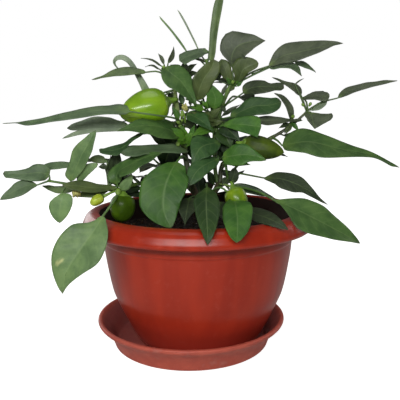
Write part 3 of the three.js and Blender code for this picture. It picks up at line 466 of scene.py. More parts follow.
# Leafy branches: the stem's path, its radius at either end and its tone, then the stalks of its fruits,
# flowers and buds. Their leaves are numbered in this order, and a leaf's number seeds its own unevenness.
branches = {
    "left_branch": {
        "radius": (2, 1.1), "tone": "shoot",
        "stem": [(-2, 3, 170), (-22, -5, 171), (-39, -14, 169), (-54, -24, 166), (-68, -35, 163),
                 (-86, -38, 165), (-104, -40, 168), (-132, -42, 173)],
        "stalks": [[(-65.9, -34, 162.6), (-63.9, -38, 160.8), (-63.5, -40, 156.8)],
                   [(-66.2, -38, 162.7), (-72.1, -46, 162), (-78.5, -50, 159.2)]],
        "leaves": [
            leaf([(-66.3, -38, 161.3), (-69.2, -66, 154.2), (-74.4, -82, 146.9)], (-108.7, -104, 83.7), 42,
                 (-1, -4, 1), "grey", 8,
                 [(-81, -89.5, 135.9), (-92.6, -95.8, 120.2), (-103.7, -100.5, 102.5)],
                 (3.4, 6.5, 12.6, 18.6, 20.8, 16.2, 10, 3.2, 0.9),
                 (2.3, 4.3, 10, 18.8, 21.5, 18.9, 12.8, 6.7, 2.8), scar=(0.53, 0.7)),
            leaf([(-112, -41, 169), (-115, -48, 166), (-116.3, -53, 163.4)], (-118.7, -58, 135.6), 21,
                 (0, -4, 1), "grey", 8,
                 [(-115.5, -55.6, 159.5), (-117.5, -57.4, 151.1), (-118.2, -58.1, 142.6)],
                 (0.5, 3.6, 8.3, 10.8, 10.7, 8.8, 5.5, 3.1, 1.2),
                 (0.8, 2.9, 5, 7.8, 10.4, 9, 6.1, 3.4, 1.3)),
            leaf([(-106, -40, 169), (-110.8, -41, 172.4)], (-85, -48, 219.8), 19, (-1, -4, 1), "grey", 10,
                 [(-105.1, -44.1, 183), (-98.4, -46.4, 196.2), (-91, -47.6, 208.2)],
                 (5.6, 7.2, 7.6, 8.2, 10.1, 8.3, 5.3, 3, 1.1), (2.1, 3.9, 5.7, 8, 9.1, 8.3, 5.4, 3, 1.1)),
            leaf([(-104, -40, 168), (-102.7, -42, 172)], (-83.6, -46, 189), 10, (-1, -4, 1), "grey", 6,
                 [(-100.1, -44.3, 177.1), (-95.2, -45.9, 182.9), (-89.2, -46.3, 186.7)],
                 (2, 2.6, 3.9, 4.6, 4.9, 4, 2.7, 1.7, 1), (2.2, 2.9, 4, 5, 5.3, 4.6, 3.5, 2.6, 0.8)),
            leaf([(-130, -42, 173), (-129.6, -43, 178)], (-169.9, -52, 181.8), 17, (0, -2, 1), "dusk", 6,
                 [(-136.1, -46.5, 181), (-147.7, -49.3, 180.7), (-159.5, -51, 180.2)],
                 (3.4, 6.3, 7.9, 8.9, 7.6, 5.4, 4, 4.2, 2), (5.4, 6.6, 8.3, 8.4, 5.3, 3.9, 3.2, 2.4, 2.2)),
            leaf([(-104, -40, 168), (-105.7, -36, 185.9)], (-145.1, -28, 185.1), 9, (0, -1, 1), "dusk", 5,
                 [(-114.2, -35, 187), (-124.4, -33.4, 186.6), (-134.9, -31, 185.2)],
                 (0.9, 2.3, 3.8, 4.3, 4.9, 4.8, 3.9, 2, 0.8), (1.3, 2.6, 3.2, 3.8, 4.1, 4.3, 3.8, 2, 0.7)),
            leaf([(-130, -42, 173), (-140.4, -46, 169.6)], (-172.8, -56, 157.5), 14, (0, -2, 1), "dusk", 6,
                 [(-147.6, -49.8, 169.7), (-156.2, -52.8, 166.8), (-164.6, -54.8, 162.2)],
                 (1.2, 2.5, 4.6, 6.8, 7.7, 6.3, 4, 2.1, 0.8), (1.3, 2.7, 4.6, 7, 6.7, 5, 3.5, 2, 0.8)),
            leaf([(-86, -38, 165), (-107.6, -34, 163.8)], (-142.4, -26, 166.8), 8, (0, -2, 1), "moss", 5,
                 [(-115.3, -32, 163.4), (-124.7, -30, 162.7), (-133.7, -28, 164.2)],
                 (0.7, 1.9, 3.5, 3.9, 3.9, 3.2, 2.3, 1.2, 0.6),
                 (1.3, 2.3, 3.5, 3.7, 3.7, 2.8, 2.4, 1, 0.5)),
            leaf([(-68, -35, 163), (-66.1, -42, 165.2)], (-113.2, -64, 172.3), 11, (0, -2, 1), "olive", 5,
                 [(-77.8, -48.1, 166.7), (-90, -53.9, 168.2), (-102, -59.1, 170.5)],
                 (0.9, 1.8, 2.9, 4.5, 5.3, 5.4, 4.6, 3.1, 1), (1, 2.9, 3.2, 3.4, 5.2, 5.6, 4.3, 2.5, 0.8)),
            leaf([(-68, -35, 163), (-67.3, -39, 168.5)], (-24.9, -48, 199.8), 23, (0, -2, 3), "leek", 8,
                 [(-66.6, -42, 179.6), (-53.2, -44.6, 188.3), (-38.8, -46.5, 194.9)],
                 (5.6, 7.4, 9.4, 8.4, 8.6, 7.8, 5.3, 2.8, 1.1),
                 (1, 3.6, 6.6, 13, 14.2, 11.4, 10.9, 5.3, 2)),
            leaf([(-66, -34, 163), (-63.8, -42, 164.2)], (-53.1, -46, 179.6), 10, (0, -1, 0), "grey", 5,
                 [(-61.2, -43.7, 166.4), (-57.5, -45, 170.5), (-54.7, -45.7, 175.1)],
                 (3.5, 3.8, 4.3, 4.9, 4.4, 3.6, 2.7, 1.7, 0.4),
                 (1.1, 1.9, 3.2, 4.8, 4.7, 3.7, 2.8, 0.9, 0.4)),
            leaf([(-76, -36, 164), (-77.6, -32, 190.1)], (-95.6, -30, 190.9), 8, (0, -1, 0), "moss", 6,
                 [(-80.9, -32.9, 191), (-85.7, -33, 192.1), (-90.9, -31.9, 191.9)],
                 (1.7, 2.3, 3.2, 3.7, 4, 3.6, 2.8, 1.3, 0.6), (0.6, 1.1, 2.6, 3.9, 4, 3.4, 2.3, 1, 0.6)),
            leaf([(-76, -36, 164), (-78, -34, 180)], (-73, -36, 197), 8, (1, -1, 0), "dark"),
            leaf([(-54, -24, 166), (-62, -6, 176), (-66, 4, 181)], (-112, 22, 186), 24, (0, 1, 3), "deepShade"),
            leaf([(-39, -14, 169), (-48, 10, 170), (-56, 24, 168)], (-96, 62, 152), 28, (0, 1, 2), "deepShade",
                 bow=5),
        ],
    },
    "middle_left": {
        "radius": (3.1, 1.9), "tone": "bark",
        "stem": [(-1, 3, 169), (-5.4, 4, 196.7), (-10.8, 3, 222), (-14.4, 0, 243.8)],
        "stalks": [[(-6, 3, 214), (-4, -10, 230), (-7, -14, 236)], [(-8, 3, 219), (-7, -10, 228)],
                   [(-7, 3, 216), (-9, -11, 222)], [(-3, 4, 199), (-11, -14, 206)]],
        "leaves": [
            leaf([(-9.3, 0, 226.2), (-15.5, -34, 230.3), (-33.6, -50, 233.4), (-51.9, -54, 236.2)],
                 (-163.1, -64, 229), 13, (0, -1, 1), "dusk", 5,
                 [(-78.6, -56, 237.6), (-107.3, -58.3, 233), (-135.7, -61, 227.8)],
                 (3.6, 4.9, 5.7, 6.9, 5, 3.1, 4.1, 0.4, 0.4),
                 (6.5, 7.8, 5.2, 5.3, 4.2, 3.4, 1.9, 0.4, 0.4)),
            leaf([(-5, 4, 207), (-29, -6, 219), (-57.9, -20, 222.8)], (-116.3, -26, 222), 14, (0, -2, 1),
                 "pale", 6, [(-71.1, -22.8, 223.6), (-86.2, -24.8, 225.3), (-101.5, -25.8, 223.6)],
                 (2.7, 4.6, 5.8, 6.7, 7.5, 6.5, 4.9, 3.7, 1.8),
                 (2.5, 4.1, 5, 6.8, 6.8, 5.9, 4.2, 2.8, 0.9)),
            leaf([(-5, 4, 206), (-34, -12, 216), (-56.9, -25, 219.2)], (-118.5, -36, 213.3), 6, (0, -1, 1),
                 "pale", 4, [(-71.7, -28.8, 219.4), (-87.5, -31.9, 219.3), (-103.2, -34.2, 217)],
                 (0.8, 2, 2.2, 2.7, 3.3, 3, 2.9, 2.1, 0.8), (0.8, 1.2, 2, 2.3, 2.8, 3.3, 2.3, 1.1, 0.5)),
            leaf([(-5, 4, 205), (-3.3, -10, 209), (-9, -14, 210.7)], (-62.6, -57, 221.4), 30, (0, -1, 1),
                 "leek", 6, [(-19.7, -24.8, 218.9), (-34.5, -35.5, 223), (-49, -46.2, 222.8)],
                 (1.2, 5.4, 12.2, 16.2, 16.4, 14.3, 9, 4.3, 1.1),
                 (8.7, 10.7, 13.9, 13.8, 10.4, 7.5, 4.5, 2.5, 1)),
            leaf([(-3, 4, 196), (-1.4, -14, 197.3)], (-61.1, -50, 200.9), 17, (0, -2, 3), "dusk", 6,
                 [(-15.9, -23.8, 201.1), (-31.9, -33.1, 201), (-47.3, -41.8, 201)],
                 (2.2, 4.6, 8.2, 8.6, 7.8, 8.9, 9.6, 8.2, 6), (3.7, 6.3, 7, 6, 6.7, 7.5, 7.4, 5, 2)),
            leaf([(-6, 4, 210), (-34, -30, 216), (-42.6, -36, 215.4)], (-81.9, -46, 203.3), 16, (-1, -2, 3),
                 "forest", 4, [(-52.1, -38.5, 210.8), (-61.3, -41, 203.4), (-72.6, -43.5, 200.7)],
                 (0.7, 1.9, 3.1, 3, 5.2, 8.9, 7.1, 6.1, 5.4), (2.4, 3.6, 3.2, 4.2, 6.8, 7, 4.5, 1.8, 1.9)),
            leaf([(-9, 3, 224), (-6, -4, 232), (-2, -8, 234)], (23, -22, 217), 19, (1, -3, 2), "forest",
                 bow=3),
            leaf([(-5, 4, 206), (-5, -10, 204)], (-16, -20, 220), 10, (0, -2, 1), "fresh"),
            leaf([(-5, 4, 206), (-4, -9, 208)], (-8, -15, 224), 9, (0, -1, 0), "fresh"),
            leaf([(-5, 4, 206), (-3, -10, 204)], (4, -17, 218), 10, (0, -2, 1), "fresh"),
            leaf([(-5, 4, 204), (-3, -12, 202)], (9, -23, 208), 10, (0, -1, 1), "fresh"),
            leaf([(-9, 3, 220), (-14, -8, 226)], (-26, -18, 210), 13, (-1, -2, 1), "dark"),
            leaf([(-3, 4, 187), (-7, -18, 193), (-11.5, -32, 189.1)], (-16.5, -62, 131.7), 43, (0, -3, 1),
                 "mid", 10, [(-16.7, -40.8, 181.4), (-22.7, -48.9, 164.5), (-23.1, -55.8, 145.7)],
                 (8.3, 11.6, 15.3, 19.7, 20.3, 16.4, 13.4, 8.5, 3.8),
                 (2.3, 4.2, 7.9, 16.8, 22.3, 22.3, 14.1, 7.1, 3.2)),
            leaf([(-2, 4, 176), (6, 14, 178), (8, 18, 183)], (12, 27, 229), 28, (0, -1, 0), "deepShade"),
            leaf([(-8, 4, 216), (-14, 12, 214), (-16, 16, 211)], (-30, 26, 172), 26, (0, -1, 0), "deepShade"),
            leaf([(-6, 4, 212), (-16, 20, 218), (-24, 30, 220)], (-74, 52, 226), 28, (0, 1, 4), "deepShade"),
            leaf([(-3, 4, 194), (-10, 22, 204), (-14, 34, 206)], (-36, 88, 204), 30, (0, 1, 3), "deepShade",
                 bow=4),
            leaf([(-3, 4, 180), (-4, 26, 184), (-2, 38, 184)], (8, 96, 168), 32, (0, 1, 3), "deepShade", bow=5),
        ],
    },
    "top_left": {
        "radius": (2.6, 1.4), "tone": "sunlit",
        "stem": [(-11.2, 1, 231.1), (-12.9, -1, 245.8), (-14.6, -3, 259.2), (-22.2, -2, 276)],
        "stalks": [[(-14, 0, 247), (-12, -8, 248), (-17, -12, 245)]],
        "leaves": [
            leaf([(-22, -2, 271), (-23.8, -6, 278.1)], (7.8, -24, 242.1), 28, (1, -3, 2), "leek", 10,
                 [(-17.3, -11.6, 272.3), (-6.7, -16.6, 263.5), (0.5, -20.6, 252.7)],
                 (6.2, 8.4, 11.1, 12.8, 11.6, 7.3, 4.7, 2.5, 0.8),
                 (3.6, 6, 10.2, 15.3, 15.8, 12.2, 6.9, 3.5, 1.2)),
            leaf([(-21, -2, 269), (-30, -3, 274), (-41.5, -4, 273.4)], (-93.1, -14, 267.8), 11, (0, -1, 1),
                 "moss", 5, [(-53.1, -7.5, 274.6), (-66.7, -10.4, 273.6), (-79.8, -12.5, 270.2)],
                 (1.9, 3.6, 5, 6.1, 6.1, 4.2, 2.7, 2, 0.8), (2.5, 3.6, 4.6, 5.3, 5, 3.4, 1.2, 0.5, 0.2)),
            leaf([(-17, -2, 256), (-28, 4, 250), (-41.3, 5, 253.3)], (-67.9, 2, 276.3), 8, (0, -1, 0),
                 "pale", 3,
                 [(-45.4, 3.3, 262.1), (-49.5, 1.8, 270.2), (-54, 0.5, 278.7), (-58.6, -0.3, 284.7),
                  (-64.3, -0.6, 287.9), (-69.7, -0.5, 287.3), (-72.6, 0.1, 283.9), (-71.5, 1, 280.1)],
                 (3.8, 3.5, 2.9, 2.5, 2.6, 2.2, 1.3, 0.7, 0.4),
                 (3.8, 3.5, 2.9, 2.5, 2.6, 2.2, 1.3, 0.7, 0.4)),
            leaf([(-22, -2, 272), (-26, -4, 279)], (-46, -6, 287), 4, (0, -1, 2), "slate"),
            leaf([(-22, -2, 273), (-24, -2, 281)], (-30, 0, 292), 4, (0, -1, 1), "slate"),
            leaf([(-22, -2, 273), (-20, -2, 282)], (-14, 0, 298), 6, (1, -1, 0), "slate"),
            leaf([(-21, -2, 269), (-28, -6, 276)], (-42, -9, 279), 4, (0, -1, 2), "slate"),
            leaf([(-21, -2, 270), (-18, 6, 275)], (8, 12, 271), 13, (0, -1, 1), "deepShade"),
            leaf([(-17, -2, 259), (-12, 12, 264), (-8, 20, 264)], (12, 46, 252), 22, (0, 1, 3), "deepShade"),
            leaf([(-16, -2, 256), (-26, 12, 254), (-30, 20, 252)], (-44, 44, 242), 18, (0, 1, 3), "deepShade"),
        ],
    },
    "top": {
        "radius": (2.2, 1.1), "tone": "shoot",
        "stem": [(28, -2, 162), (25, 2, 182), (25, 6, 210), (24, 4, 229), (20, 4, 251), (18, 3, 274),
                 (17, 2, 286)],
        "leaves": [
            leaf([(22, 4, 240), (13, -2, 244), (7.7, -4, 246.1)], (24.3, -10, 284.7), 20, (1, -4, 1),
                 "olive", 10, [(9.5, -6.8, 254.6), (14.3, -8.9, 266.3), (21.6, -9.8, 276.4)],
                 (2.8, 5.5, 8.3, 10.9, 9.8, 8.2, 6.7, 3.7, 1.2),
                 (3.1, 5.6, 7.9, 9.5, 10, 9.8, 8.5, 7, 5.5)),
            leaf([(19, 4, 262), (20, 14, 266)], (34, 22, 284), 15, (0, -1, 0), "deepShade"),
            leaf([(18, 3, 272), (21.2, 2, 281.2)], (31.3, -4, 350.8), 11, (-2, -3, 0), "moss", 24,
                 [(23.1, 0.5, 298.9), (25.3, -1, 316.7), (28.2, -2.5, 334.2)],
                 (0.8, 2.5, 3.4, 3.8, 3.9, 4.1, 3.8, 2.4, 0.8),
                 (2.6, 4.9, 6.2, 6.2, 6.6, 6.7, 7.2, 4.8, 1.9)),
            leaf([(18, 2, 282), (20, 3, 290), (18.8, 3, 293.7)], (-9.2, -4, 284.7), 21, (0, -2, 3), "dusk",
                 8, [(12, 0.9, 291.8), (3.4, -1.1, 290.3), (-4.2, -2.6, 286.3)],
                 (3.1, 4.1, 6, 11.3, 12.9, 8.8, 11.3, 12.9, 12.4),
                 (4.1, 5.1, 6.8, 7.5, 7.7, 7.9, 7.8, 5.6, 2.1)),
            leaf([(17, 3, 279), (8, 6, 288), (-1.3, 8, 292.4)], (-28.4, 4, 327), 2, (0, -1, 0), "grey", 6,
                 [(-7.2, 5.6, 301), (-14, 4, 309.8), (-21.1, 3.6, 318.3)],
                 (0.5, 0.8, 1.1, 1.2, 1, 0.9, 1, 1, 0.4), (0.5, 0.9, 1, 1.1, 1.1, 1.1, 0.8, 0.6, 0.4)),
            leaf([(17, 3, 283), (12, 6, 290), (9.6, 6, 295)], (-10.5, 0, 332.2), 2, (0, -1, 0), "pale", 6,
                 [(5, 3.1, 304.5), (0.1, 1, 313.9), (-4.9, 0.1, 323.2)],
                 (0.3, 0.5, 0.8, 0.9, 0.9, 0.9, 0.8, 0.5, 0.2),
                 (0.2, 0.6, 0.9, 0.8, 0.9, 0.9, 1, 0.9, 0.5)),
            leaf([(24, 4, 228), (24.4, -2, 237.7)], (22.4, -8, 261), 17, (0, -1, 0), "mid", 5,
                 [(25, -4.2, 241.7), (25.6, -6, 249.1), (23, -7.2, 255.5)],
                 (2.3, 4.3, 6.7, 8.8, 8.8, 7.6, 5.7, 2.7, 1.1),
                 (1.7, 2.8, 5.2, 7.5, 8.5, 5.4, 4.3, 2.5, 0.9)),
            leaf([(22, 4, 240), (12, -4, 242), (8, -10, 241)], (-4, -18, 248), 11, (0, -1, 1), "fresh"),
            leaf([(22, 4, 240), (16, -4, 238)], (17, -14, 246), 9, (0, -2, 1), "fresh"),
            leaf([(25, 6, 202), (29.4, -12, 205.5)], (2.5, -34, 186.9), 26, (0, -2, 1), "forest", 8,
                 [(21.9, -19.4, 205.1), (11.7, -25.7, 202.2), (6.3, -30.4, 195.2)],
                 (2.7, 5.1, 8.7, 12.4, 13.8, 12.9, 7.6, 3.7, 1.2),
                 (2.9, 4.2, 6.4, 9.2, 12.6, 8, 4, 2, 0.8)),
            leaf([(25, 3, 186), (27, -12, 193), (28.1, -22, 190.8)], (0.6, -46, 168), 17, (0, -2, 1),
                 "forest", 8, [(20.1, -29.9, 188.1), (10.4, -36.7, 183.4), (3.7, -41.9, 175.8)],
                 (2.9, 4.4, 6.9, 8.1, 9.1, 8.7, 6.9, 4.1, 1.3), (2.3, 3.5, 6, 6.7, 8.2, 8.4, 5, 2.6, 1.1)),
            leaf([(25, 5, 214), (22, -8, 220)], (2, -22, 212), 11, (0, -2, 1), "fresh"),
            leaf([(24, 6, 213), (29, 24, 221), (32, 32, 222)], (46, 86, 222), 28, (0, 1, 3), "deepShade", bow=5),
            leaf([(24, 5, 232), (12, 20, 238), (6, 28, 238)], (-22, 74, 232), 28, (0, 1, 3), "deepShade", bow=5),
            leaf([(25, 5, 196), (28, 24, 198), (29, 34, 196)], (34, 94, 180), 30, (0, 1, 3), "deepShade", bow=5),
            leaf([(19, 3, 262), (24, 16, 266), (28, 24, 268)], (44, 56, 262), 20, (0, 1, 3), "deepShade"),
        ],
    },
    "right_top": {
        "radius": (2.3, 2), "tone": "shoot",
        "stem": [(25, 6, 206), (28.6, 7, 227), (33.1, 7, 242.6), (38.6, 7, 255.3), (43, 6, 264.9)],
        "leaves": [
            leaf([(45, 6, 262), (43, 6, 272), (43.5, 6, 276.5)], (73.8, -6, 302.6), 32, (-1, -4, 1),
                 "slate", 10, [(41.6, 2.3, 286), (46.4, -0.9, 296.8), (60.1, -3.7, 301.6)],
                 (0.9, 1.7, 2.9, 13.1, 16.8, 10.7, 6.3, 2.6, 0.9),
                 (2.9, 6.3, 10.3, 13.2, 14.9, 12.7, 7.5, 3.7, 1.2)),
            leaf([(44, 6, 260), (45.8, 4, 261)], (67.3, -6, 281.2), 18, (1, -4, 1), "olive", 8,
                 [(49.4, 0.2, 266.9), (52.6, -2.9, 274.9), (61, -4.8, 279.3)],
                 (1, 2.8, 5, 7, 12, 10.3, 6.9, 4.1, 2.5), (1.1, 1.7, 2.3, 4.7, 6, 5.6, 4.7, 3.8, 2)),
            leaf([(44, 6, 262), (42.1, 8, 262.1)], (32.2, 8, 286.4), 13, (0, -1, 0), "olive", 8,
                 [(39, 6.6, 267.9), (36.3, 6, 274.6), (33.9, 6.6, 281.5)],
                 (0.7, 1.8, 3.5, 5, 6.1, 6.1, 4.9, 3.8, 1.3), (0.8, 2, 3.6, 4.7, 6, 6.5, 5, 2.6, 0.9)),
            leaf([(45, 6, 262), (62, 4, 273), (78.4, 2, 278.9)], (146.6, -14, 299.1), 21, (0, -2, 1),
                 "slate", 8, [(89.9, -3.3, 287.1), (107.7, -7.8, 291.1), (126.8, -11.3, 295.1)],
                 (2, 3.9, 7.5, 11.7, 10.9, 8.4, 5.7, 3, 1), (2.2, 4.2, 6.8, 9.3, 8.7, 6.9, 3.9, 0.8, 0.3)),
            leaf([(44, 6, 261), (62, 5, 270), (79.2, 4, 277.6)], (109.8, -8, 269.2), 17, (0, -1, 2), "dusk",
                 8, [(87.2, 0.1, 278.5), (96, -3.3, 279.2), (104.1, -5.9, 276.1)],
                 (0.5, 2.6, 4.6, 5.6, 5.9, 5.7, 2.9, 1.3, 0.7),
                 (3.4, 5.3, 8.6, 10.4, 11.5, 8.4, 5.3, 3, 0.9)),
            leaf([(62, 5, 271), (80, 8, 278), (104.8, 8, 283.5)], (126.1, 8, 273.2), 8, (0, -1, 1), "dusk",
                 6, [(109.2, 7, 281.8), (115.1, 6.6, 279.8), (120.7, 7, 276.7)],
                 (1.1, 1.9, 2.8, 4.1, 3.4, 2.6, 1.7, 0.8, 0.5),
                 (1.8, 2.8, 4.1, 4.2, 4.1, 3.1, 1.9, 0.8, 0.3)),
            leaf([(34.1, 7, 240.6), (44.4, 4, 246.9), (53.1, 2, 253.1)], (91.7, -10, 257.8), 15, (0, -2, 1),
                 "dark", 6, [(60.4, -1.6, 257.7), (71.9, -4.9, 259.1), (82.8, -7.6, 258.5)],
                 (3.1, 5.5, 6.9, 7.3, 6.7, 3.3, 4.6, 4.7, 4.6), (2.4, 4, 6.4, 8, 8.2, 6.4, 3.8, 3.3, 1.8)),
            leaf([(30, 7, 227), (40.3, 0, 229.8)], (89, -12, 244.9), 20, (0, -2, 1), "forest", 6,
                 [(51.4, -4.9, 235.5), (64.2, -8.7, 240.3), (78.6, -10.9, 241.2)],
                 (2.6, 5, 5.6, 8.4, 9.5, 8.2, 7, 6.3, 4.4), (1.7, 3.2, 5.2, 7.9, 10.2, 9.9, 8.4, 6, 3)),
            leaf([(28, 7, 219), (32.7, -14, 222)], (66.9, -32, 221.8), 20, (0, -3, 1), "mid", 5,
                 [(41.9, -19.8, 223.4), (52.6, -24.9, 222.9), (63.3, -28.8, 221.6)],
                 (1.9, 3.2, 4.7, 6.7, 8.6, 10.1, 8.9, 6.6, 2.8),
                 (1, 2.4, 4.3, 6.2, 7.9, 9.4, 10.4, 10.9, 11.2)),
            leaf([(28, 7, 219), (31, -2, 224)], (50, -15, 206), 18, (0, -3, 1), "deepShade"),
            leaf([(35, 7, 240), (44, 22, 250), (50, 30, 250)], (70, 66, 240), 22, (0, 1, 3), "deepShade", bow=4),
        ],
    },
    "right_branch": {
        "radius": (2.6, 1.2), "tone": "bark",
        "stem": [(30, -3, 163), (33.4, 3, 182.4), (53.8, 6, 195.7), (82.6, 8, 208.6), (103.1, 8, 221.5),
                 (117.7, 6, 234.6)],
        "stalks": [[(55, 6, 195), (52, -6, 205), (54, -15, 208)]],
        "leaves": [
            leaf([(83, 8, 209), (88, 2, 206), (91.7, -3, 201.5)], (205.7, -20, 182.8), 31, (0, -1, 1),
                 "leek", 8, [(116.1, -10.2, 205.5), (146, -15.7, 199), (175.9, -18.8, 193)],
                 (8.9, 12.5, 15.5, 11.7, 10, 5.6, 2.3, 0.8, 0.5),
                 (7.5, 10.9, 15.7, 18.1, 13.3, 7.3, 3.5, 3.7, 1.2)),
            leaf([(116.9, 6, 235.6), (114.1, 6, 243.5), (111.8, 8, 250.1)], (81.8, 4, 268.6), 8, (0, -2, 1),
                 "slate", 5, [(107.1, 6.4, 256.7), (98.9, 5.1, 261.3), (90.3, 4.4, 265.1)],
                 (1.3, 2.9, 4.3, 4.3, 3.2, 2.5, 1.2, 0.7, 0.3), (1.2, 3, 4, 4, 2.5, 1.3, 1.3, 0.8, 0.5)),
            leaf([(101, 8, 223), (102.1, 6, 226.3)], (83.7, -2, 253.1), 8, (1, -3, 1), "slate", 8,
                 [(101.1, 2.7, 233.8), (97.4, 0.2, 242.1), (91.3, -1.3, 248.6)],
                 (1.7, 2.4, 3.7, 4.3, 4.2, 3.3, 2.2, 1, 0.5),
                 (0.8, 2.2, 3.1, 3.8, 3.3, 2.9, 2.1, 0.9, 0.5)),
            leaf([(101, 8, 223), (111.3, 4, 226.5)], (66.4, -6, 227.8), 16, (0, -2, 3), "slate", 5,
                 [(100, 0.7, 226.5), (87.9, -2.1, 226.3), (76, -4.3, 226.2)],
                 (1.2, 2.2, 2.9, 3.6, 5.4, 7.8, 9.3, 8, 7), (0.5, 1, 2.4, 3.8, 5.3, 6.9, 7.2, 6.2, 3.2)),
            leaf([(118, 6, 236), (117, 8, 244), (113.2, 9, 248.5)], (137.5, 0, 252), 18, (0, -2, 3),
                 "slate", 4, [(119.2, 6, 249.2), (126.4, 3.4, 250), (133.5, 1.5, 249.3)],
                 (1.1, 2.6, 6.6, 7, 7.4, 8.9, 7.9, 5.6, 3.3),
                 (2.4, 4.7, 6.4, 6.9, 7.9, 7.8, 9.6, 5.1, 3.1)),
            leaf([(118, 6, 236), (121.2, 5, 236.1)], (135.7, 2, 245.7), 10, (0, -2, 3), "pale", 4,
                 [(124.7, 3.5, 237.8), (129, 2.4, 240.2), (133.2, 2, 242.9)],
                 (0.8, 2.3, 3.9, 4.5, 4.9, 4.4, 3.4, 2.2, 1), (1.7, 2.3, 3.5, 4.7, 5.5, 4.7, 3.2, 1.8, 1)),
            leaf([(117, 6, 235), (130, 3, 243), (146.5, 0, 247.6)], (199.3, -14, 264.4), 10, (0, -1, 1),
                 "slate", 6, [(156.5, -4.5, 254.9), (170.6, -8.4, 259), (184.9, -11.5, 261.8)],
                 (2.3, 3.9, 4.8, 4.2, 3.8, 2.6, 2.1, 1.1, 0.7),
                 (1.2, 2.7, 4.6, 5.5, 4.6, 3.5, 2.5, 1.3, 0.6)),
            leaf([(116, 6, 234), (120.2, 2, 234.1)], (123, -8, 218), 26, (0, -3, 1), "slate", 5,
                 [(120.3, -0.5, 230.3), (120.9, -3, 226.4), (121.8, -5.5, 222.1)],
                 (4.3, 9.1, 19.6, 20.1, 21.1, 19.6, 14.3, 7.4, 3),
                 (4.1, 5.6, 6.7, 5.4, 4.3, 3, 1.9, 0.8, 0.6)),
            leaf([(83, 8, 209), (92, 24, 212), (98, 34, 210)], (136, 70, 196), 26, (0, 1, 3), "deepShade",
                 bow=4),
        ],
    },
    "lower_right": {
        "radius": (1.8, 1.3), "tone": "shoot", "stem": [(28, -2, 160), (36, -10, 165), (42, -14, 170)],
        "leaves": [
            leaf([(32.8, 0, 176.7), (50.2, -16, 175.3), (70.9, -24, 172)], (129.9, -46, 150.2), 22,
                 (0, -1, 1), "dark", 8,
                 [(85.8, -31.5, 172.1), (101.6, -37.8, 167.4), (115.6, -42.5, 159.3)],
                 (1, 3.8, 7.8, 9.1, 8.8, 5.5, 2.1, 0.5, 0.2), (1.8, 3.7, 7.5, 13, 12, 5.1, 4, 2.7, 0.9)),
            leaf([(41.7, -12, 162.6), (54.3, -27, 162.4), (66.7, -46, 160.6), (76.7, -55, 155.9)],
                 (157.4, -62, 116.7), 34, (0, -1, 1), "leek", 8,
                 [(95.6, -57.8, 148.2), (115.8, -59.9, 138.1), (136.7, -61.2, 127)],
                 (2, 4.5, 8.4, 14.4, 15.9, 13.3, 8.6, 4.6, 1.9),
                 (1.9, 3.2, 9.5, 19.5, 17.8, 14.6, 8.9, 4.3, 1.8)),
            leaf([(35, -9, 164), (46, -16, 151), (54.8, -34, 144.8)], (84.2, -97, 138.3), 18, (0, -1, 1),
                 "dark", 6, [(60, -56.8, 143.3), (68.4, -75.4, 143.1), (76.5, -88.2, 141.2)],
                 (1.7, 6.2, 9.2, 9.2, 7.7, 5.7, 3.6, 1.9, 0.8), (2.6, 3.6, 5.5, 8.6, 10.4, 8, 5, 2.8, 0.9)),
            leaf([(38, -12, 167), (35, -24, 182), (31.6, -30, 192.9)], (70.7, -50, 192.1), 21, (0, -3, 1),
                 "mid", 8, [(38.8, -36.3, 194.2), (50.5, -41.9, 196.1), (60.5, -46.3, 195.1)],
                 (3.7, 6.1, 8.4, 10, 10.2, 6.9, 3.7, 1.9, 0.8),
                 (3.2, 6.3, 8.5, 10.3, 11, 6.8, 4.9, 2.9, 1)),
            leaf([(39, -12, 167), (39.6, -14, 165.8)], (44.4, -16, 181), 11, (0, -1, 0), "dark", 4,
                 [(41.1, -15.2, 168.2), (43, -16, 172.8), (43.9, -16.2, 177.5)],
                 (1.9, 3.9, 4.5, 5.3, 5.4, 4.9, 3.6, 2.7, 1.7), (1, 2.1, 3.4, 5.1, 5.3, 4.5, 3.1, 2, 0.8)),
        ],
    },
    "front": {
        "radius": (1.8, 1.3), "tone": "shoot", "stem": [(13, 4, 136), (16, -8, 147), (18, -22, 157)],
        "stalks": [[(29, -8, 164.1), (36.7, -32, 165.9), (42.9, -47, 164.4)]],
        "leaves": [
            leaf([(18, -22, 157), (16, -38, 168), (16.4, -58, 168.3)], (16, -121, 131.3), 23, (0, -2, 3),
                 "shade", 12, [(15.3, -80, 161.7), (15.4, -98.4, 151.1), (15.8, -111.5, 140.8)],
                 (2.3, 5, 9.4, 11.7, 11.2, 9.3, 6.2, 3.6, 1.3), (2, 4.2, 8.1, 11, 9.7, 7.6, 4.9, 2.6, 1)),
            leaf([(18, -22, 157), (30, -40, 165), (41.5, -48, 155.5)], (39.3, -121, 132.7), 26, (0, -2, 3),
                 "mid", 10, [(41.4, -74.1, 153.8), (41.6, -95.6, 145.3), (40.5, -110.6, 137.5)],
                 (6.2, 8.5, 11.7, 13.8, 12.4, 10, 6.8, 4.3, 2),
                 (2.4, 4.7, 8.2, 12.2, 12.5, 10.9, 7.8, 5.4, 3.1)),
            leaf([(16, -8, 147), (4, -22, 154), (0, -32, 154)], (-4, -72, 136), 20, (0, -2, 3), "dark"),
            leaf([(16, -10, 148), (26, -24, 152), (28, -32, 150)], (36, -68, 134), 18, (0, -2, 3), "dark"),
        ],
    },
    "back_left": {
        "radius": (2, 1.2), "tone": "shoot",
        "stem": [(5, 4, 152), (-10, 20, 164), (-24, 32, 174), (-34, 40, 180)],
        "leaves": [
            leaf([(-33, 39, 179), (-42, 48, 186)], (-86, 72, 190), 30, (0, 1, 3), "deepShade", bow=4),
            leaf([(-30, 37, 177), (-36, 52, 176)], (-62, 102, 164), 30, (0, 1, 2), "deepShade", bow=4),
            leaf([(-14, 24, 167), (-26, 38, 162)], (-62, 76, 151), 26, (0, 1, 3), "deepShade", bow=4),
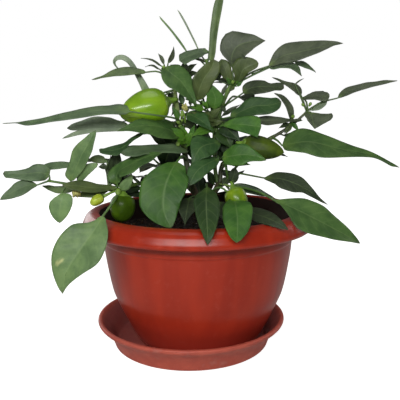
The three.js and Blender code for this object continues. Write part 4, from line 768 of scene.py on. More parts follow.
            leaf([(-31, 38, 178), (-26, 48, 184)], (-20, 86, 192), 24, (0, 1, 3), "deepShade"),
        ],
    },
    "back_right": {
        "radius": (2, 1.2), "tone": "shoot",
        "stem": [(22, 2, 149), (34, 18, 162), (46, 30, 174), (56, 38, 184)],
        "leaves": [
            leaf([(55, 37, 183), (66, 44, 186)], (108, 62, 186), 26, (0, 1, 3), "deepShade", bow=4),
            leaf([(50, 33, 178), (60, 46, 184)], (79, 92, 201), 26, (0, 1, 4), "deepShade", bow=5),
            leaf([(54, 37, 182), (56, 50, 192)], (66, 88, 208), 22, (0, 0, 1), "deepShade"),
            leaf([(40, 24, 168), (44, 40, 164)], (54, 98, 158), 26, (0, 1, 2), "deepShade", bow=4),
        ],
    },
    "back_low": {
        "radius": (1.8, 1.2), "tone": "shoot", "stem": [(13, 5, 132), (12, 20, 144), (10, 34, 152)],
        "leaves": [
            leaf([(10, 33, 152), (0, 46, 153)], (-36, 106, 143), 28, (0, 1, 3), "deepShade", bow=4),
            leaf([(10, 34, 152), (11, 50, 156)], (20, 124, 128), 30, (0, 2, 3), "deepShade", bow=9),
            leaf([(12, 16, 141), (10, 18, 149)], (7, 26, 177), 17, (0, -1, 0), "deepShade"),
            leaf([(12, 22, 145), (22, 38, 146)], (44, 82, 134), 22, (0, 1, 3), "deepShade", bow=4),
        ],
    },
}

# Small leaves at the growing points, seen only in the scene: the point on the stem, then for each leaf the
# foot and tip of its blade, its width, the way it faces and its tone. A narrow one arches less.
smallLeaves = {
    "middle_left": [
        ((-9, 3, 222), [((14.5, -12, 237.8), (0.6, -16, 239.8), 8, (0, -2, 1), "fresh")]),
        ((-5, 4, 206), [((0.7, -14, 211.1), (5.7, -18, 223.7), 5.5, (0, -1, 0), "mid"),
            ((-4.2, -14, 208.3), (-20.1, -20, 221.6), 11, (0, -2, 1), "fresh")]),
        ((-9, 3, 222), [((7.5, -2, 217.4), (-10, -8, 227.4), 14, (0, -1, 1), "dark")]),
        ((-5, 4, 206), [((6.5, -10, 210.9), (14.4, -12, 220.6), 7, (0, -2, 1), "olive")]),
        ((-9, 3, 222), [((-5.9, -6, 242.8), (-9.3, -2, 254.9), 6, (0, -1, 0), "forest"),
            ((1.3, -4, 241.3), (0.9, -2, 249.5), 3.5, (0, -1, 0), "dark"),
            ((32.4, 2, 240.6), (36.2, -2, 232.8), 5, (0, -1, 0), "dark"),
            ((-9.8, -13, 228.5), (-16.2, -15, 240.9), 6, (0, -2, 1), "mid")]),
        ((-5, 4, 206), [((-23.8, 4, 201.4), (-40.4, 2, 214.1), 8, (0, -2, 1), "dark")]),
    ],
    "top": [
        ((25, 5, 212), [((32.3, 0, 220.1), (40.9, -8, 198.3), 22, (0, -3, 1), "shade")]),
        ((24, 4, 229), [((31.4, 2, 225.9), (0, -14, 235.6), 9, (0, -2, 1), "olive"),
            ((26.4, 0, 226), (16.4, -8, 219.5), 8, (0, -2, 1), "olive"),
            ((15.6, 4, 240.7), (12.2, 2, 254.4), 2, (0, -1, 0), "slate")]),
        ((18, 3, 274), [((16.8, 2, 283.1), (3.2, 0, 286.9), 4, (0, -1, 1), "slate")]),
        ((25, 5, 212), [((31.6, 6, 218.9), (41.5, 2, 184), 17, (0, -1, 0), "deepShade")]),
        ((25, 5, 196), [((29.7, 10, 185.3), (47.8, 8, 212.7), 15, (0, -1, 0), "deepShade")]),
        ((24, 4, 229), [((21.4, -2, 229), (31.1, -6, 239.6), 8, (0, -2, 1), "olive"),
            ((19.4, -4, 226.1), (11.6, -9, 234), 7, (0, -2, 1), "mid"),
            ((22.4, -2, 223.1), (34.1, -6, 226.1), 7, (0, -2, 1), "olive"),
            ((17.4, -6, 221.3), (24.1, -10, 213.7), 7, (0, -2, 1), "mid")]),
        ((24, 4, 240), [((18.7, 4, 252.4), (10.3, 2, 256.3), 3, (0, -1, 0), "dark")]),
        ((24, 4, 229), [((17.5, 6, 219), (10.6, 4, 230), 7, (0, -2, 1), "dark")]),
    ],
    "top_left": [
        ((-17, -2, 256), [((-15.3, 8, 245.9), (-23, 6, 255.2), 8, (0, -1, 1), "dark")]),
        ((-21, -2, 269), [((-5.8, 4, 274.8), (-18.4, 2, 281), 8, (0, -1, 1), "dark"),
            ((-2.9, 6, 273), (8, 4, 281.9), 8, (0, -1, 1), "dark"),
            ((-4, 8, 272.2), (-4.8, 6, 285.5), 9, (0, -1, 1), "dark"),
            ((-1, 5, 270), (8.9, 2, 273.6), 8, (0, -1, 1), "dark")]),
    ],
    "right_top": [
        ((44, 6, 260), [((33.6, 6, 263.6), (23.1, 4, 263.7), 2, (0, -1, 1), "slate"),
            ((46.2, 2, 261.9), (49.5, 0, 270.4), 3, (0, -1, 0), "fresh"),
            ((41.3, 2, 261.9), (36.2, -1, 268.5), 4.5, (0, -1, 0), "mid"),
            ((44.1, 0, 259.9), (39, -4, 254), 5, (0, -2, 1), "olive"),
            ((47.1, 0, 259.8), (52.8, -2, 264.5), 4, (0, -2, 1), "mid")]),
        ((31, 7, 228), [((32.7, 9, 230.7), (51.7, 8, 242.5), 5, (0, -2, 1), "dark")]),
        ((34, 7, 243), [((31.7, 9, 250.5), (39.6, 8, 265.1), 4, (0, -2, 1), "slate")]),
    ],
    "right_branch": [
        ((117, 6, 235), [((104.7, 5, 261.6), (113.5, 5, 267.3), 1.6, (0, -1, 1), "slate")]),
        ((101, 8, 223), [((101.2, 3, 222.4), (95, 0, 212.2), 6, (0, -2, 1), "olive"),
            ((101.4, 4, 224.4), (109.3, 0, 215.1), 5, (0, -2, 1), "mid"),
            ((100.4, 4, 223.4), (94, 0, 213.2), 5, (0, -2, 1), "dark"),
            ((102.3, 4, 225.4), (112.6, 0, 225.9), 4, (0, -2, 1), "dark"),
            ((99.4, 4, 222.9), (87.9, 0, 218.2), 5, (0, -2, 1), "dark")]),
    ],
    "left_branch": [
        ((-76, -36, 164), [((-76.6, -44, 162.7), (-110.3, -48, 158.9), 9, (0, -2, 1), "olive"),
            ((-77.8, -32, 184.8), (-86.3, -32, 184.4), 6, (0, -2, 1), "dark"),
            ((-69.3, -26, 181.7), (-69.2, -28, 205.3), 10, (0, -1, 0), "dark")]),
        ((-54, -24, 166), [((-46.1, -22, 166.1), (-58.7, -24, 176.6), 3, (0, -1, 0), "dark")]),
        ((-86, -38, 165), [((-68.6, -22, 160.8), (-42.7, -18, 161.5), 12, (0, -1, 1), "deepShade"),
            ((-67, -20, 157.6), (-39.3, -14, 153.5), 9, (0, -1, 1), "deepShade"),
            ((-68.6, -34, 166.4), (-80.8, -36, 186.7), 6, (0, -1, 0), "dark"),
            ((-66.7, -34, 166.4), (-61.3, -36, 180), 6, (0, -1, 0), "dark")]),
    ],
    "lower_right": [
        ((42, -14, 170), [((43.3, -18, 164.9), (83.9, -30, 152.7), 9, (0, -2, 1), "deepShade")]),
        ((38, -12, 167), [((37.5, -16, 171.1), (31.4, -22, 164), 8, (0, -2, 1), "dark"),
            ((35.1, -26, 188.7), (58.8, -34, 185.7), 9, (0, -2, 1), "fresh")]),
        ((28, -2, 160), [((24.3, 4, 162.5), (16.8, 2, 178.1), 9, (0, -2, 1), "deepShade")]),
    ],
}

# Fruits from stem end to blossom end: body radius, taper to the blossom end, depth and turn of the lobes,
# two greens of the skin, its wax and shine, and the branch that bears it.
fruits = {
    "fruit_large_green": {
        "ends": ((-23.5, -13, 244.3), (-64.5, -29, 233)), "radius": 17.4, "taper": 0.8, "lobe": 0.05,
        "turn": 0.4, "skin": "#6C9414", "flush": "#82A722", "coat": 0.5, "shine": 0.25,
        "branch": "top_left", "slot": "green_fruit"},
    "fruit_low_green": {
        "ends": ((-62.5, -40, 157.5), (-63.5, -46, 134)), "radius": 12.2, "taper": 0.15, "lobe": 0.05,
        "turn": 1.2, "skin": "#32490C", "flush": "#44600F", "coat": 0.05, "shine": 0.1,
        "branch": "left_branch", "slot": "dark_fruit"},
    "fruit_small_young": {
        "ends": ((-80.5, -47, 158.5), (-91, -51, 152)), "radius": 5, "taper": 0.1, "lobe": 0.03,
        "turn": 0.0, "skin": "#98A92C", "flush": "#B4C64A", "coat": 0.2, "shine": 0.18,
        "branch": "left_branch", "slot": "yellow_fruit"},
    "fruit_yellow_green": {
        "ends": ((41.5, -45, 163.5), (48, -54, 144)), "radius": 10.6, "taper": 0.2, "lobe": 0.05,
        "turn": 0.8, "skin": "#557610", "flush": "#7C9720", "coat": 0.22, "shine": 0.22,
        "branch": "front", "slot": "yellow_fruit"},
    "fruit_olive": {
        "ends": ((54, -17, 204), (90, -27, 196.5)), "radius": 11.4, "taper": 0.8, "lobe": 0.1,
        "turn": 0.5, "skin": "#33431A", "flush": "#4A5C1A", "coat": 0.0, "shine": 0.08,
        "branch": "right_branch", "slot": "olive_fruit"},
}

# Flower buds: place, way they point, radius. Spent flowers: foot, mouth, radius.
buds = {
    "middle_left": [((-7, -11, 230), (0, -1, 2), 1.9), ((-9, -12, 224), (-1, -1, 1), 1.8),
                    ((-11, -15, 207), (0, -1, -1), 2.2)],
    "right_branch": [((119, 4, 240), (1, -1, 2), 1.6), ((114, 4, 240), (-1, -1, 1), 1.6),
                     ((103, 4, 228), (0, -1, 1), 1.8)],
    "left_branch": [((-66.2, -41.0, 165.0), (0, -1, -1), 2.8), ((-58, -30, 168), (0, -1, 1), 1.8)],
    "top_left": [((-24, -6, 276), (0, -1, 1), 1.6)],
    "right_top": [((43, 1, 262), (0, -1, 1), 1.7)],
}
spentFlowers = {
    "middle_left": [((-2.5, -14.6, 236), (-4.6, -19, 241.6), 2.9)],
    "left_branch": [((-104.4, -50.0, 168.0), (-102.9, -54.0, 159.8), 4)],
}
spentFlowerNode = {"middle_left": "spent_flower_top"}  # spent flowers that are nodes of their own

# Leaf colours by age, with painted light and shade: the darkest tones paint shade on leaves in the shadow of
# others, and the pale greyish ones paint sheen on leaves that face the lamps.
leafTones = {
    "fresh": "#47701F", "mid": "#3A6122", "forest": "#2F4D26", "grey": "#627D4D", "dusk": "#516547",
    "leek": "#43612F", "pale": "#7C8B72", "slate": "#4B5440", "moss": "#5A6C45", "olive": "#46542C",
    "dark": "#333F29", "shade": "#284019", "deepShade": "#22361A",
}
shootTones = {
    "shoot": "#4F6B30", "bark": "#454A33", "sunlit": "#86985A", "joint": "#76923F", "petiole": "#587838",
    "bud": "#75933F", "calyx": "#6C8F32", "petal": "#A8A561", "scar": "#CFCB8C", "tip": "#4C4A38",
}

# Blades: thickness and grid cell, then how each is uneven in shares of its width or length, and the radians
# that each wave runs through along it. A blade of its own outline flutters less. Its foot and tip take
# other tones over the last shares of its length.
bladeShape = {
    "thickness": 0.5, "cell": 2.0, "halfColumns": (3, 9), "rows": (12, 44), "crowding": 0.07, "belly": 0.7,
    "wave": 0.03, "waveRun": 9, "ripple": 0.014, "rippleRun": 21, "flutter": 0.04, "flutterRun": 15,
    "ownFlutter": 0.4, "sideLag": 1.7, "leafLag": 2.4, "curl": 0.05, "curlFrom": 0.72, "quilt": 0.018,
    "curlSpread": (0.2, 1), "toneSpread": (0.88, 1.12), "footShare": 0.16, "footTone": 0.55,
    "tipShare": 0.07, "tipTone": 0.5,
}
scarShape = {"halfLength": 5.5, "halfWidth": 1.6, "along": (0.87, 0.5)}  # corky mark, set across the veins


# Points on a blade's midrib with the ways across and out of its upper side.
def midrib(form):
    base, tip, face = Vector(form["path"][-1]), Vector(form["tip"]), Vector(form["face"])
    if form["mid"]:
        points = [base] + [Vector(p) for p in form["mid"]] + [tip]
    else:
        run = tip - base
        rise = run.cross(face).normalized().cross(run).normalized()
        points = [base, base + run / 2 + rise * form["bow"], tip]

    def at(q):
        way = (curvePoint(points, q + 0.02) - curvePoint(points, q - 0.02)).normalized()
        side = way.cross(face).normalized()
        return curvePoint(points, q), side, side.cross(way)

    return at, curveLength(points)


# Width of a half blade (s below 0 is one half, above 0 the other) at the share q of its length.
# Between the stations the edge runs smoothly, and never past the widths at either side.
def halfWidth(form, q, s):
    if not form["mid"]:
        return form["width"] / 2 * max(math.sin(math.pi * q ** bladeShape["belly"]), 0.0) ** (1 + 0.5 * q)
    widths = (0, *form["edges"][s > 0], 0)
    slopes = [(b - a) / (v - u) for a, b, u, v in zip(widths, widths[1:], edgeStations, edgeStations[1:])]
    i = max(k for k in range(len(slopes)) if edgeStations[k] <= q)
    before, after = slopes[max(i - 1, 0)], slopes[min(i + 1, len(slopes) - 1)]
    m0, m1 = [0 if a * b <= 0 else 2 * a * b / (a + b) for a, b in ((before, slopes[i]), (slopes[i], after))]
    step = edgeStations[i + 1] - edgeStations[i]
    w = (q - edgeStations[i]) / step
    return max(0.0, widths[i] * (1 - w) ** 2 * (1 + 2 * w) + widths[i + 1] * w * w * (3 - 2 * w)
               + step * (m0 * w * (1 - w) ** 2 - m1 * w * w * (1 - w)))


# Blade from a flat grid: s runs across it from -1 to 1, q from its foot to its tip.
def growBlade(form, number):
    bm = foliageMesh()
    tintLayer = bm.verts.layers.float_color["tint"]
    uvLayer = bm.loops.layers.uv["bladeUv"]
    shape = bladeShape
    at, length = midrib(form)
    width, fold, phase = form["width"], math.radians(form["fold"]), shape["leafLag"] * number
    flutter = shape["flutter"] * (shape["ownFlutter"] if form["mid"] else 1)
    columns = 2 * clamp(round(width / (2 * shape["cell"])), *shape["halfColumns"])
    rows = clamp(round(length / shape["cell"]), *shape["rows"])
    bmesh.ops.create_grid(bm, x_segments=columns, y_segments=rows, size=1.0)
    draw = random.Random(number)
    tone = Vector(linear(leafTones[form["tone"]])) * draw.uniform(*shape["toneSpread"])
    foot, scar, dry = [Vector(linear(shootTones[name])) for name in ("joint", "scar", "tip")]
    curl = draw.uniform(*shape["curlSpread"]) * shape["curl"] * length
    quilt = min(veinLayout["relief"], width * shape["quilt"])
    place = {}
    for vert in bm.verts:
        s, t = vert.co.x, (vert.co.y + 1) / 2
        q = clamp(t - shape["crowding"] * math.sin(2 * math.pi * t))  # rows lie closer at foot and tip
        a = abs(s)
        point, side, out = at(q)
        half = halfWidth(form, q, s)
        ends = min(1, 12 * half / width)  # the waves die out where the blade is narrow
        lag = shape["sideLag"] * math.copysign(1, s)
        half *= 1 + flutter * math.sin(shape["flutterRun"] * q + phase + lag)
        wave = shape["wave"] * width * s * s * math.sin(shape["waveRun"] * q + phase + s) * ends
        ripple = shape["ripple"] * width * a ** 3 * ends
        ripple *= math.sin(shape["rippleRun"] * q + 2 * phase + 2 * s)
        cell = veinLayout["pairs"] * (q - veinLayout["sweep"] * a ** veinLayout["curve"])
        pillow = quilt * (0.5 - 0.5 * math.cos(2 * math.pi * cell)) * min(1, 6 * a) * min(1, 5 * (1 - a))
        drop = curl * max(0.0, (q - shape["curlFrom"]) / (1 - shape["curlFrom"])) ** 2
        lift = half * a * math.sin(fold) + wave + ripple + pillow * math.sin(math.pi * q) - drop
        vert.co = point + side * (half * s * math.cos(fold * a)) + out * lift
        tint = tone.lerp(foot, shape["footTone"] * max(0.0, 1 - q / shape["footShare"]) * (1 - a))
        tint = tint.lerp(dry, shape["tipTone"] * max(0.0, 1 - (1 - q) / shape["tipShare"]))
        if form["scar"]:
            across, along = (s - form["scar"][0]) * width / 2, (q - form["scar"][1]) * length
            c, d = scarShape["along"]
            near = math.hypot((c * across + d * along) / scarShape["halfLength"],
                              (d * across - c * along) / scarShape["halfWidth"])
            tint = tint.lerp(scar, max(0.0, 1 - near))
        vert[tintLayer] = tint
        place[vert] = (s * 0.5 + 0.5, q)
    for face in bm.faces:
        for loop in face.loops:
            loop[uvLayer].uv = place[loop.vert]
    bmesh.ops.remove_doubles(bm, verts=bm.verts, dist=1e-3)
    bmesh.ops.recalc_face_normals(bm, faces=bm.faces)
    bmesh.ops.solidify(bm, geom=bm.faces[:], thickness=shape["thickness"])
    bm.normal_update()
    for face in bm.faces:
        q = sum(loop[uvLayer].uv.y for loop in face.loops) / len(face.loops)
        face.material_index = upperSide if face.normal.dot(at(q)[2]) > 0 else underSide
    return bm


# Radii and steps in millimetres. The rib is the part under the blade.
petioleShape = {
    "sides": 7, "thin": 0.86, "perWidth": 0.014, "thickest": 1.4, "taper": 0.3, "leafShare": 0.55,
    "ribEnd": 0.8, "ribRadius": 0.7, "ribTip": 0.15, "ribSunk": 0.9, "step": 4, "ribStep": 7,
}


# Petiole, which runs on under the blade as its midrib.
def growPetiole(form):
    shape = petioleShape
    at, length = midrib(form)
    path = [Vector(p) for p in form["path"]]
    size = min(shape["thickest"], shape["thin"] + form["width"] * shape["perWidth"])
    leafTint = Vector(linear(leafTones[form["tone"]]))
    tint = Vector(linear(shootTones["petiole"])).lerp(leafTint, shape["leafShare"])
    steps = max(3, round(curveLength(path) / shape["step"]))
    centres = curveSteps(path, steps)
    radii = [size * (1 - shape["taper"] * i / steps) for i in range(steps + 1)]
    ribSteps = max(5, round(length / shape["ribStep"]))
    for i in range(1, ribSteps + 1):
        q = shape["ribEnd"] * i / ribSteps
        point, side, out = at(q)
        radius = size * shape["ribRadius"] * (1 - q) + shape["ribTip"]
        centres.append(point - out * (radius * shape["ribSunk"]))
        radii.append(radius)
    return growTube(centres, radii, shape["sides"], tint)


def growLeaf(target, form, number):
    pour(growBlade(form, number), target)
    pour(growPetiole(form), target)


# Sizes in millimetres. A stem has a joint at each point of its path.
stemShape = {"sides": 9, "stepsPerPoint": 5, "joint": 1.22, "jointReach": 6, "jointTone": 0.7}


# Stem with a swollen, paler joint at each point where it branches.
def growStem(target, path, radius, skin):
    points = [Vector(p) for p in path]
    steps = stemShape["stepsPerPoint"] * (len(points) - 1)
    radii = [radius[0] + (radius[1] - radius[0]) * i / steps for i in range(steps + 1)]
    for i in range(stemShape["stepsPerPoint"], steps + 1, stemShape["stepsPerPoint"]):
        radii[i] *= stemShape["joint"]
    bm = growTube(curveSteps(points, steps), radii, stemShape["sides"], linear(skin))
    layer = bm.verts.layers.float_color["tint"]
    shoot, joint = Vector(linear(skin)), Vector(linear(shootTones["joint"]))
    for vert in bm.verts:
        near = min((vert.co - p).length for p in points[1:])
        vert[layer] = shoot.lerp(joint, stemShape["jointTone"] * max(0.0, 1 - near / stemShape["jointReach"]))
    pour(bm, target)


stalkShape = {"sides": 8, "steps": 8, "radius": 1.0, "flare": 0.7}


def growStalk(target, path):
    steps = stalkShape["steps"]
    radii = [stalkShape["radius"] + stalkShape["flare"] * (i / steps) ** 3 for i in range(steps + 1)]
    centres = curveSteps([Vector(p) for p in path], steps)
    pour(growTube(centres, radii, stalkShape["sides"], linear(shootTones["bud"])), target)


calyxShape = {"steps": 20, "reach": 0.64, "teeth": 5, "toothDepth": 0.12}


# Calyx: the end of the stalk swells into a shallow cap with blunt teeth over the fruit's shoulder.
def growCalyx(target, form):
    radius = form["radius"]
    reach = radius * calyxShape["reach"]
    section = [(0, -radius * 0.8), (radius * 0.1, -radius * 0.8), (radius * 0.13, -radius * 0.6),
               (radius * 0.2, -radius * 0.34), (reach * 0.58, -radius * 0.14), (reach * 0.88, -radius * 0.03),
               (reach * 1.04, radius * 0.1), (reach * 0.98, radius * 0.13), (0, radius * 0.1)]
    bm = turnSection(section, calyxShape["steps"])

    def teeth(turn, at):
        depth = calyxShape["toothDepth"] * (math.hypot(at.x, at.y) / reach) ** 3
        return 1 + depth * math.cos(calyxShape["teeth"] * turn)

    swell(bm, teeth)
    bmesh.ops.transform(bm, matrix=layAlong(*form["ends"]), verts=bm.verts)
    paint(bm, linear(shootTones["calyx"]), shootSkin)
    pour(bm, target)


budShape = {"steps": 10, "section": [(0, -0.4), (0.55, 0), (0.7, 0.5), (1, 1.2), (0.9, 2.0), (0.5, 2.6),
                                     (0, 2.8)]}  # in shares of the bud's radius


def growBud(target, place, way, radius):
    bm = turnSection([(r * radius, h * radius) for r, h in budShape["section"]], budShape["steps"])
    bmesh.ops.transform(bm, matrix=layAlong(place, Vector(place) + Vector(way)), verts=bm.verts)
    paint(bm, linear(shootTones["bud"]), shootSkin)
    pour(bm, target)


spentShape = {"steps": 20, "points": 5, "pointDepth": 0.22, "creases": 11, "creaseDepth": 0.1, "wilt": 0.8}


# Spent flower: a withered, five-pointed cup.
def growSpentFlower(target, start, end, radius):
    length = (Vector(end) - Vector(start)).length
    section = [(0, 0), (radius * 0.45, 0.1), (radius * 0.95, length * 0.5), (radius * 0.8, length * 0.95),
               (radius * 0.6, length * 0.95), (radius * 0.55, length * 0.6), (0, length * 0.5)]
    bm = turnSection(section, spentShape["steps"])
    for vert in bm.verts:
        turn = math.atan2(vert.co.y, vert.co.x)
        share = max(0.0, vert.co.z / length)
        grow = 1 + spentShape["pointDepth"] * share * math.cos(spentShape["points"] * turn)
        grow += spentShape["creaseDepth"] * share * math.sin(spentShape["creases"] * turn)
        vert.co.x *= grow
        vert.co.y *= grow
        vert.co.z += spentShape["wilt"] * share * math.sin(spentShape["points"] * turn + 1)
    bmesh.ops.transform(bm, matrix=layAlong(start, end), verts=bm.verts)
    paint(bm, linear(shootTones["petal"]), dryPetal)
    pour(bm, target)


leafNumber, smallNumber = 0, 100
for name, branch in branches.items():
    bm = foliageMesh()
    growStem(bm, branch["stem"], branch["radius"], shootTones[branch["tone"]])
    for form in branch["leaves"]:
        leafNumber += 1
        growLeaf(bm, form, leafNumber)
    for start, rows in smallLeaves.get(name, []):
        for foot, tip, width, face, tone in rows:
            smallNumber += 1
            form = leaf([start, foot], tip, width, face, tone, fold=12, bow=max(0.5, width / 10))
            growLeaf(bm, form, smallNumber)
    for path in branch.get("stalks", []):
        growStalk(bm, path)
    for form in fruits.values():
        if form["branch"] == name:
            growCalyx(bm, form)
    for bud in buds.get(name, []):
        growBud(bm, *bud)
    for flower in spentFlowers.get(name, []):
        growSpentFlower(bm, *flower)
    replaced = [name]
    if name in spentFlowerNode:
        replaced.append(spentFlowerNode[name])
    newPiece("foliage_" + name, bm, foliageMaterials, "foliage", *replaced)
print("leafy branches grown:", leafNumber, "leaves,", smallNumber - 100, "small ones")


# What all fruits share: half section in shares of radius and length, number of lobes, lean to one side,
# where the taper starts, the dry point left by the flower's style and the size of the pale dots.
fruitShape = {
    "section": [(0, 0.055), (0.28, 0.0), (0.56, 0.0), (0.84, 0.07), (0.99, 0.26), (0.97, 0.52), (0.8, 0.78),
                (0.5, 0.93), (0.22, 0.985), (0, 1.0)],
    "finest": 1.2, "steps": 40, "lobes": 3, "lean": 0.03, "taperFrom": 0.3, "tip": 0.12, "tipRadius": 0.5,
    "dot": 1.111,
}

for name, form in fruits.items():
    start, end = Vector(form["ends"][0]), Vector(form["ends"][1])
    length = (end - start).length
    section = []
    for r, h in fruitShape["section"]:
        narrow = 1 - form["taper"] * max(0.0, h - fruitShape["taperFrom"]) ** 2
        section.append((r * form["radius"] * narrow, h * length))
    bm = turnSection(smoothSection([section], fruitShape["finest"]), fruitShape["steps"])

    # Grooves between the lobes, deepest at the stem end, and a slight lean.
    def lobes(turn, at):
        groove = (0.5 - 0.5 * math.cos(fruitShape["lobes"] * turn + form["turn"])) ** 3
        return 1 - form["lobe"] * groove * (1.5 - at.z / length) + fruitShape["lean"] * math.cos(turn + 2)

    swell(bm, lobes)
    tipLength, tipRadius = form["radius"] * fruitShape["tip"], fruitShape["tipRadius"]
    point = turnSection([(0, -0.5), (tipRadius, -0.5), (tipRadius * 0.7, tipLength), (0, tipLength)], 8)
    bmesh.ops.translate(point, vec=(0, 0, length - tipLength * 0.6), verts=point.verts)
    pour(point, bm)
    bmesh.ops.transform(bm, matrix=layAlong(start, end), verts=bm.verts)
    skin = fruitMaterial(name.replace("fruit_", "chilliSkin_"), form)
    newPiece("skin_" + name, bm, [skin], form["slot"], name)
print("fruits made:", len(fruits))


# Woody foot of the stem and its first fork: path and end radii of each length.
trunk = {
    "steps": 14, "sides": 16,
    "parts": [
        ([(10, 3, 84), (12, 4, 108), (13, 4, 130)], (5.2, 4)),
        ([(13, 4, 124), (6, 4, 151), (-2, 3, 172)], (3.8, 2.8)),
        ([(13, 4, 126), (22, 2, 148), (29, -3, 165)], (3.4, 2.5)),
    ],
}
bm = foliageMesh()
for path, (thick, thin) in trunk["parts"]:
    centres = curveSteps([Vector(p) for p in path], trunk["steps"])
    radii = [thick + (thin - thick) * i / trunk["steps"] for i in range(trunk["steps"] + 1)]
    pour(growTube(centres, radii, trunk["sides"], linear(woodLook["green"]), 0), bm)
newPiece("woodyStem", bm, [woodMaterial()], "woody_stem", "main_stem")


# Pot: bowl with a ring step under a rolled collar, hollow inside. Its half section is in runs of
# (radius, height), each from the end of the one before. Below the rim the inside is darkened, a stain with
# painted shade, fading in over the height of wipe.
pot = {
    "centreX": 7.5, "steps": 144, "bevel": 0.7, "rim": 138.4, "wipe": 3,
    "runs": [
        [(0, 5.1), (50, 5.1)], [(52, 3.1)], [(57.5, 3.1)],
        [(64.6, 11), (77.4, 36), (82.6, 47.5), (87, 59), (93.8, 96), (95.2, 109.5)],
        [(96.4, 110.8)], [(97, 117.5), (98.4, 125), (100.2, 133)],
        [(105, 134.6), (109.5, 132.6), (111.5, 129.5), (111.6, 126), (111, 122.9)], [(113, 122)],
        [(115, 123.6), (115.5, 126), (114.2, 129.7), (112.7, 133.4), (109.8, 136.6), (105, 138.4),
         (99.6, 138.7)],
        [(98.3, 137.2)], [(94.4, 118), (90.2, 96), (86.6, 76), (79.2, 48.5), (67, 21.5), (57.5, 7.8)],
        [(0, 7.8)],
    ],
}
saucer = {
    "centreX": 0, "steps": 144, "bevel": 0.6, "rim": 27.4, "wipe": 3.4,
    "runs": [
        [(0, 0), (76.6, 0)], [(79.4, 1.2)],
        [(81.6, 7.6), (84.4, 13), (88.4, 18), (92.6, 21.6), (95.4, 24.2), (96.1, 26.2), (95.3, 27.8)],
        [(92.4, 27.8)], [(90, 24.8), (86.6, 21.4), (83.4, 18), (81, 13.6), (78.4, 8), (76.6, 4.6)],
        [(74, 2.8)], [(0, 2.8)],
    ],
}
crisp = math.radians(14)  # edges that turn more than this are bevelled


# Turns a vessel, softens its corners and marks the inside below the rim, where it is darkened by a stain and
# by painted shade.
def turnVessel(shape):
    bm = turnSection(smoothSection(shape["runs"]), shape["steps"])
    corners = [e for e in bm.edges if len(e.link_faces) == 2 and e.calc_face_angle(0) > crisp
               and abs(e.verts[0].co.z - e.verts[1].co.z) < 1e-3]
    bmesh.ops.bevel(bm, geom=corners, offset=shape["bevel"], offset_type="OFFSET", segments=2, profile=0.5,
                    affect="EDGES", clamp_overlap=True, material=-1)
    bm.normal_update()
    stainAndShade = bm.verts.layers.float.new("stainAndShade")
    for vert in bm.verts:
        inward = vert.normal.x * vert.co.x + vert.normal.y * vert.co.y < 0
        vert[stainAndShade] = clamp((shape["rim"] - vert.co.z) / shape["wipe"]) if inward else 0.0
    bmesh.ops.translate(bm, vec=(shape["centreX"], 0, 0), verts=bm.verts)
    return bm


newPiece("bowlPot", turnVessel(pot), [potMaterial()], "pot_plastic", "pot")
newPiece("potSaucer", turnVessel(saucer), [saucerMaterial()], "saucer_plastic", "saucer")
print("pot and saucer turned")


# Soil: fills the pot to just under its collar, crumbly on top, highest round the stem. The waves of its
# surface are height, then radians per millimetre in x and y.
soil = {
    "level": 115, "radius": 93, "rise": 4, "rings": 46, "steps": 132, "seed": 7, "lumps": 1.3,
    "lumpsPerMm": 0.16, "wall": [(0, 8.2), (57, 8.2), (78.6, 48.8), (89.7, 96.2), (93, 113.6)],
    "swell": (1.4, 0.21, 0.17), "slant": (1.1, 0.37, -0.29),
    "crumbs": 420, "crumbSize": (0.9, 2.6), "perlite": 40, "perliteSize": (0.7, 1.5), "spread": 90,
}


def soilHeight(x, y):
    r = math.hypot(x, y)
    high, alongX, alongY = soil["swell"]
    bumps = high * math.sin(alongX * x + 1) * math.cos(alongY * y)
    high, alongX, alongY = soil["slant"]
    bumps += high * math.sin(alongX * x + alongY * y)
    fine = noise.fractal(Vector((x, y, 0)) * soil["lumpsPerMm"], 1.0, 2.0, 3) * soil["lumps"]
    inside = clamp((soil["radius"] - 1 - r) / 5)
    mound = soil["rise"] * (1 - (r / soil["spread"]) ** 2)
    return soil["level"] + (bumps + mound) * inside + fine * (r < soil["radius"] - 2)


rings, edge = soil["rings"], soil["radius"] - 0.6
topRow = [((1 - i / rings) * edge, soil["level"]) for i in range(rings + 1)]
bm = turnSection(soil["wall"] + topRow, soil["steps"])
for vert in bm.verts:
    if vert.co.z > soil["level"] - 0.5:
        vert.co.z = soilHeight(vert.co.x, vert.co.y)
bmesh.ops.translate(bm, vec=(pot["centreX"], 0, 0), verts=bm.verts)
newPiece("pottingSoil", bm, [crumbMaterial("peatPottingSoil")], "potting_soil", "soil")


# Strews uneven grains over the soil, sunk a little into it.
def scatterCrumbs(name, count, sizes, material, seed):
    draw = random.Random(seed)
    bm = bmesh.new()
    for i in range(count):
        r, angle = soil["spread"] * math.sqrt(draw.random()), draw.uniform(0, 2 * math.pi)
        x, y, size = r * math.cos(angle), r * math.sin(angle), draw.uniform(*sizes)
        turn = Matrix.Rotation(draw.uniform(0, 6.28), 4, Vector((draw.random(), draw.random(), 0.3)))
        stretch = Matrix.Diagonal((size, size * draw.uniform(0.6, 1), size * draw.uniform(0.5, 0.8), 1))
        place = Matrix.Translation((x + pot["centreX"], y, soilHeight(x, y) + size * 0.15)) @ turn @ stretch
        bmesh.ops.create_icosphere(bm, subdivisions=1, radius=1.0, matrix=place)
    for vert in bm.verts:
        vert.co += noise.noise_vector(vert.co * 0.6) * 0.35
    newPiece(name, bm, [material], "potting_soil")


scatterCrumbs("soilCrumbs", soil["crumbs"], soil["crumbSize"], crumbMaterial("barkCrumbs"), soil["seed"])
scatterCrumbs("perliteGrains", soil["perlite"], soil["perliteSize"], crumbMaterial("perliteGrains"),
              soil["seed"] + 1)
print("soil filled")


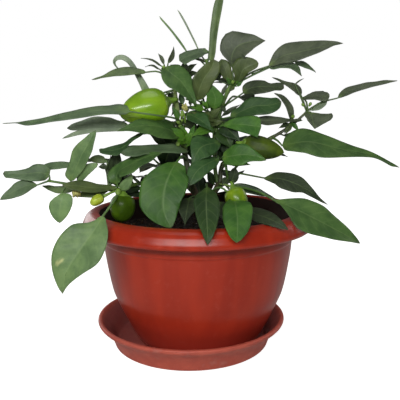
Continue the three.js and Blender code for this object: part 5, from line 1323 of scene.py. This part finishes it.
# Setting: a pale paper floor that meets a white sky, in metres. The floor's own glow rises with distance.
setting = {"floor": "#D8D8D5", "floorRadius": 9.0, "floorDrop": 0.0003, "floorGlow": 0.85,
           "glowReach": (0.15, 0.75), "glow": 0.14}
bm = bmesh.new()
bmesh.ops.create_circle(bm, cap_ends=True, segments=64, radius=setting["floorRadius"])
bmesh.ops.translate(bm, vec=(0, 0, -setting["floorDrop"]), verts=bm.verts)
floorMesh = bpy.data.meshes.new("paperFloor")
bm.to_mesh(floorMesh)
bm.free()
paperFloor = bpy.data.objects.new("paperFloor", floorMesh)
bpy.context.scene.collection.objects.link(paperFloor)
paper, tree, place = newMaterial("matPaper")
away = addNode(tree, "VectorMath", {0: place}, operation="LENGTH")
fade = addNode(tree, "MapRange", {
    "Value": away, "From Min": setting["glowReach"][0], "From Max": setting["glowReach"][1],
    "To Min": setting["floorGlow"], "To Max": 1.0}, interpolation_type="SMOOTHSTEP")
seen = addNode(tree, "LightPath").outputs["Is Camera Ray"]
whiten = addNode(tree, "Math", {0: seen, 1: fade}, operation="MULTIPLY")
shader = addNode(tree, "BsdfPrincipled", {"Base Color": linear(setting["floor"]), "Roughness": 0.9,
                                          "Emission Color": (1, 1, 1, 1), "Emission Strength": whiten})
addNode(tree, "OutputMaterial", {"Surface": shader})
floorMesh.materials.append(paper)

world = bpy.data.worlds.new("studio")
bpy.context.scene.world = world
world.use_nodes = True
tree = world.node_tree
tree.nodes.clear()
seen = addNode(tree, "LightPath").outputs["Is Camera Ray"]
strength = addNode(tree, "MapRange", {"Value": seen, "To Min": setting["glow"], "To Max": 1.0})
sky = addNode(tree, "Background", {"Color": (1, 1, 1, 1), "Strength": strength})
addNode(tree, "OutputWorld", {"Surface": sky})

lamps = {  # place in metres, size in metres, watts
    "keyLamp": ((-0.11, -0.68, 0.42), (0.78, 0.11), 4.4),
    "topLamp": ((0, 0.1, 1.6), (0.9, 0.9), 3.2),
    "leftLamp": ((-0.66, 0.72, 0.32), (0.7, 0.5), 2.6),
    "rightLamp": ((0.85, 0.5, 0.45), (0.7, 0.5), 2),
}
lampAim = Vector((0, 0, 0.16))
for name, (spot, size, power) in lamps.items():
    light = bpy.data.lights.new(name, "AREA")
    light.shape = "ELLIPSE"
    light.size, light.size_y = size
    light.energy = power
    lamp = bpy.data.objects.new(name, light)
    lamp.location = spot
    lamp.rotation_euler = (lampAim - Vector(spot)).to_track_quat("-Z", "Y").to_euler()
    bpy.context.scene.collection.objects.link(lamp)

# Camera as in the photograph: place in metres, angles in degrees, lens and sensor in millimetres.
view = {"place": (0.010, -0.560, 0.2395), "pitch": 9.4, "roll": 0.4, "lens": 50.4, "sensor": 36}
camera = bpy.data.cameras.new("photoCamera")
camera.lens = view["lens"]
camera.sensor_width = view["sensor"]
camera.clip_start = 0.01
cameraObject = bpy.data.objects.new("photoCamera", camera)
tilt = Matrix.Rotation(math.radians(90 - view["pitch"]), 4, "X")
lean = Matrix.Rotation(math.radians(-view["roll"]), 4, "Z")
cameraObject.matrix_world = Matrix.Translation(view["place"]) @ tilt @ lean
bpy.context.scene.collection.objects.link(cameraObject)
bpy.context.scene.camera = cameraObject
bpy.context.scene.view_settings.view_transform = "Standard"
print("setting ready")
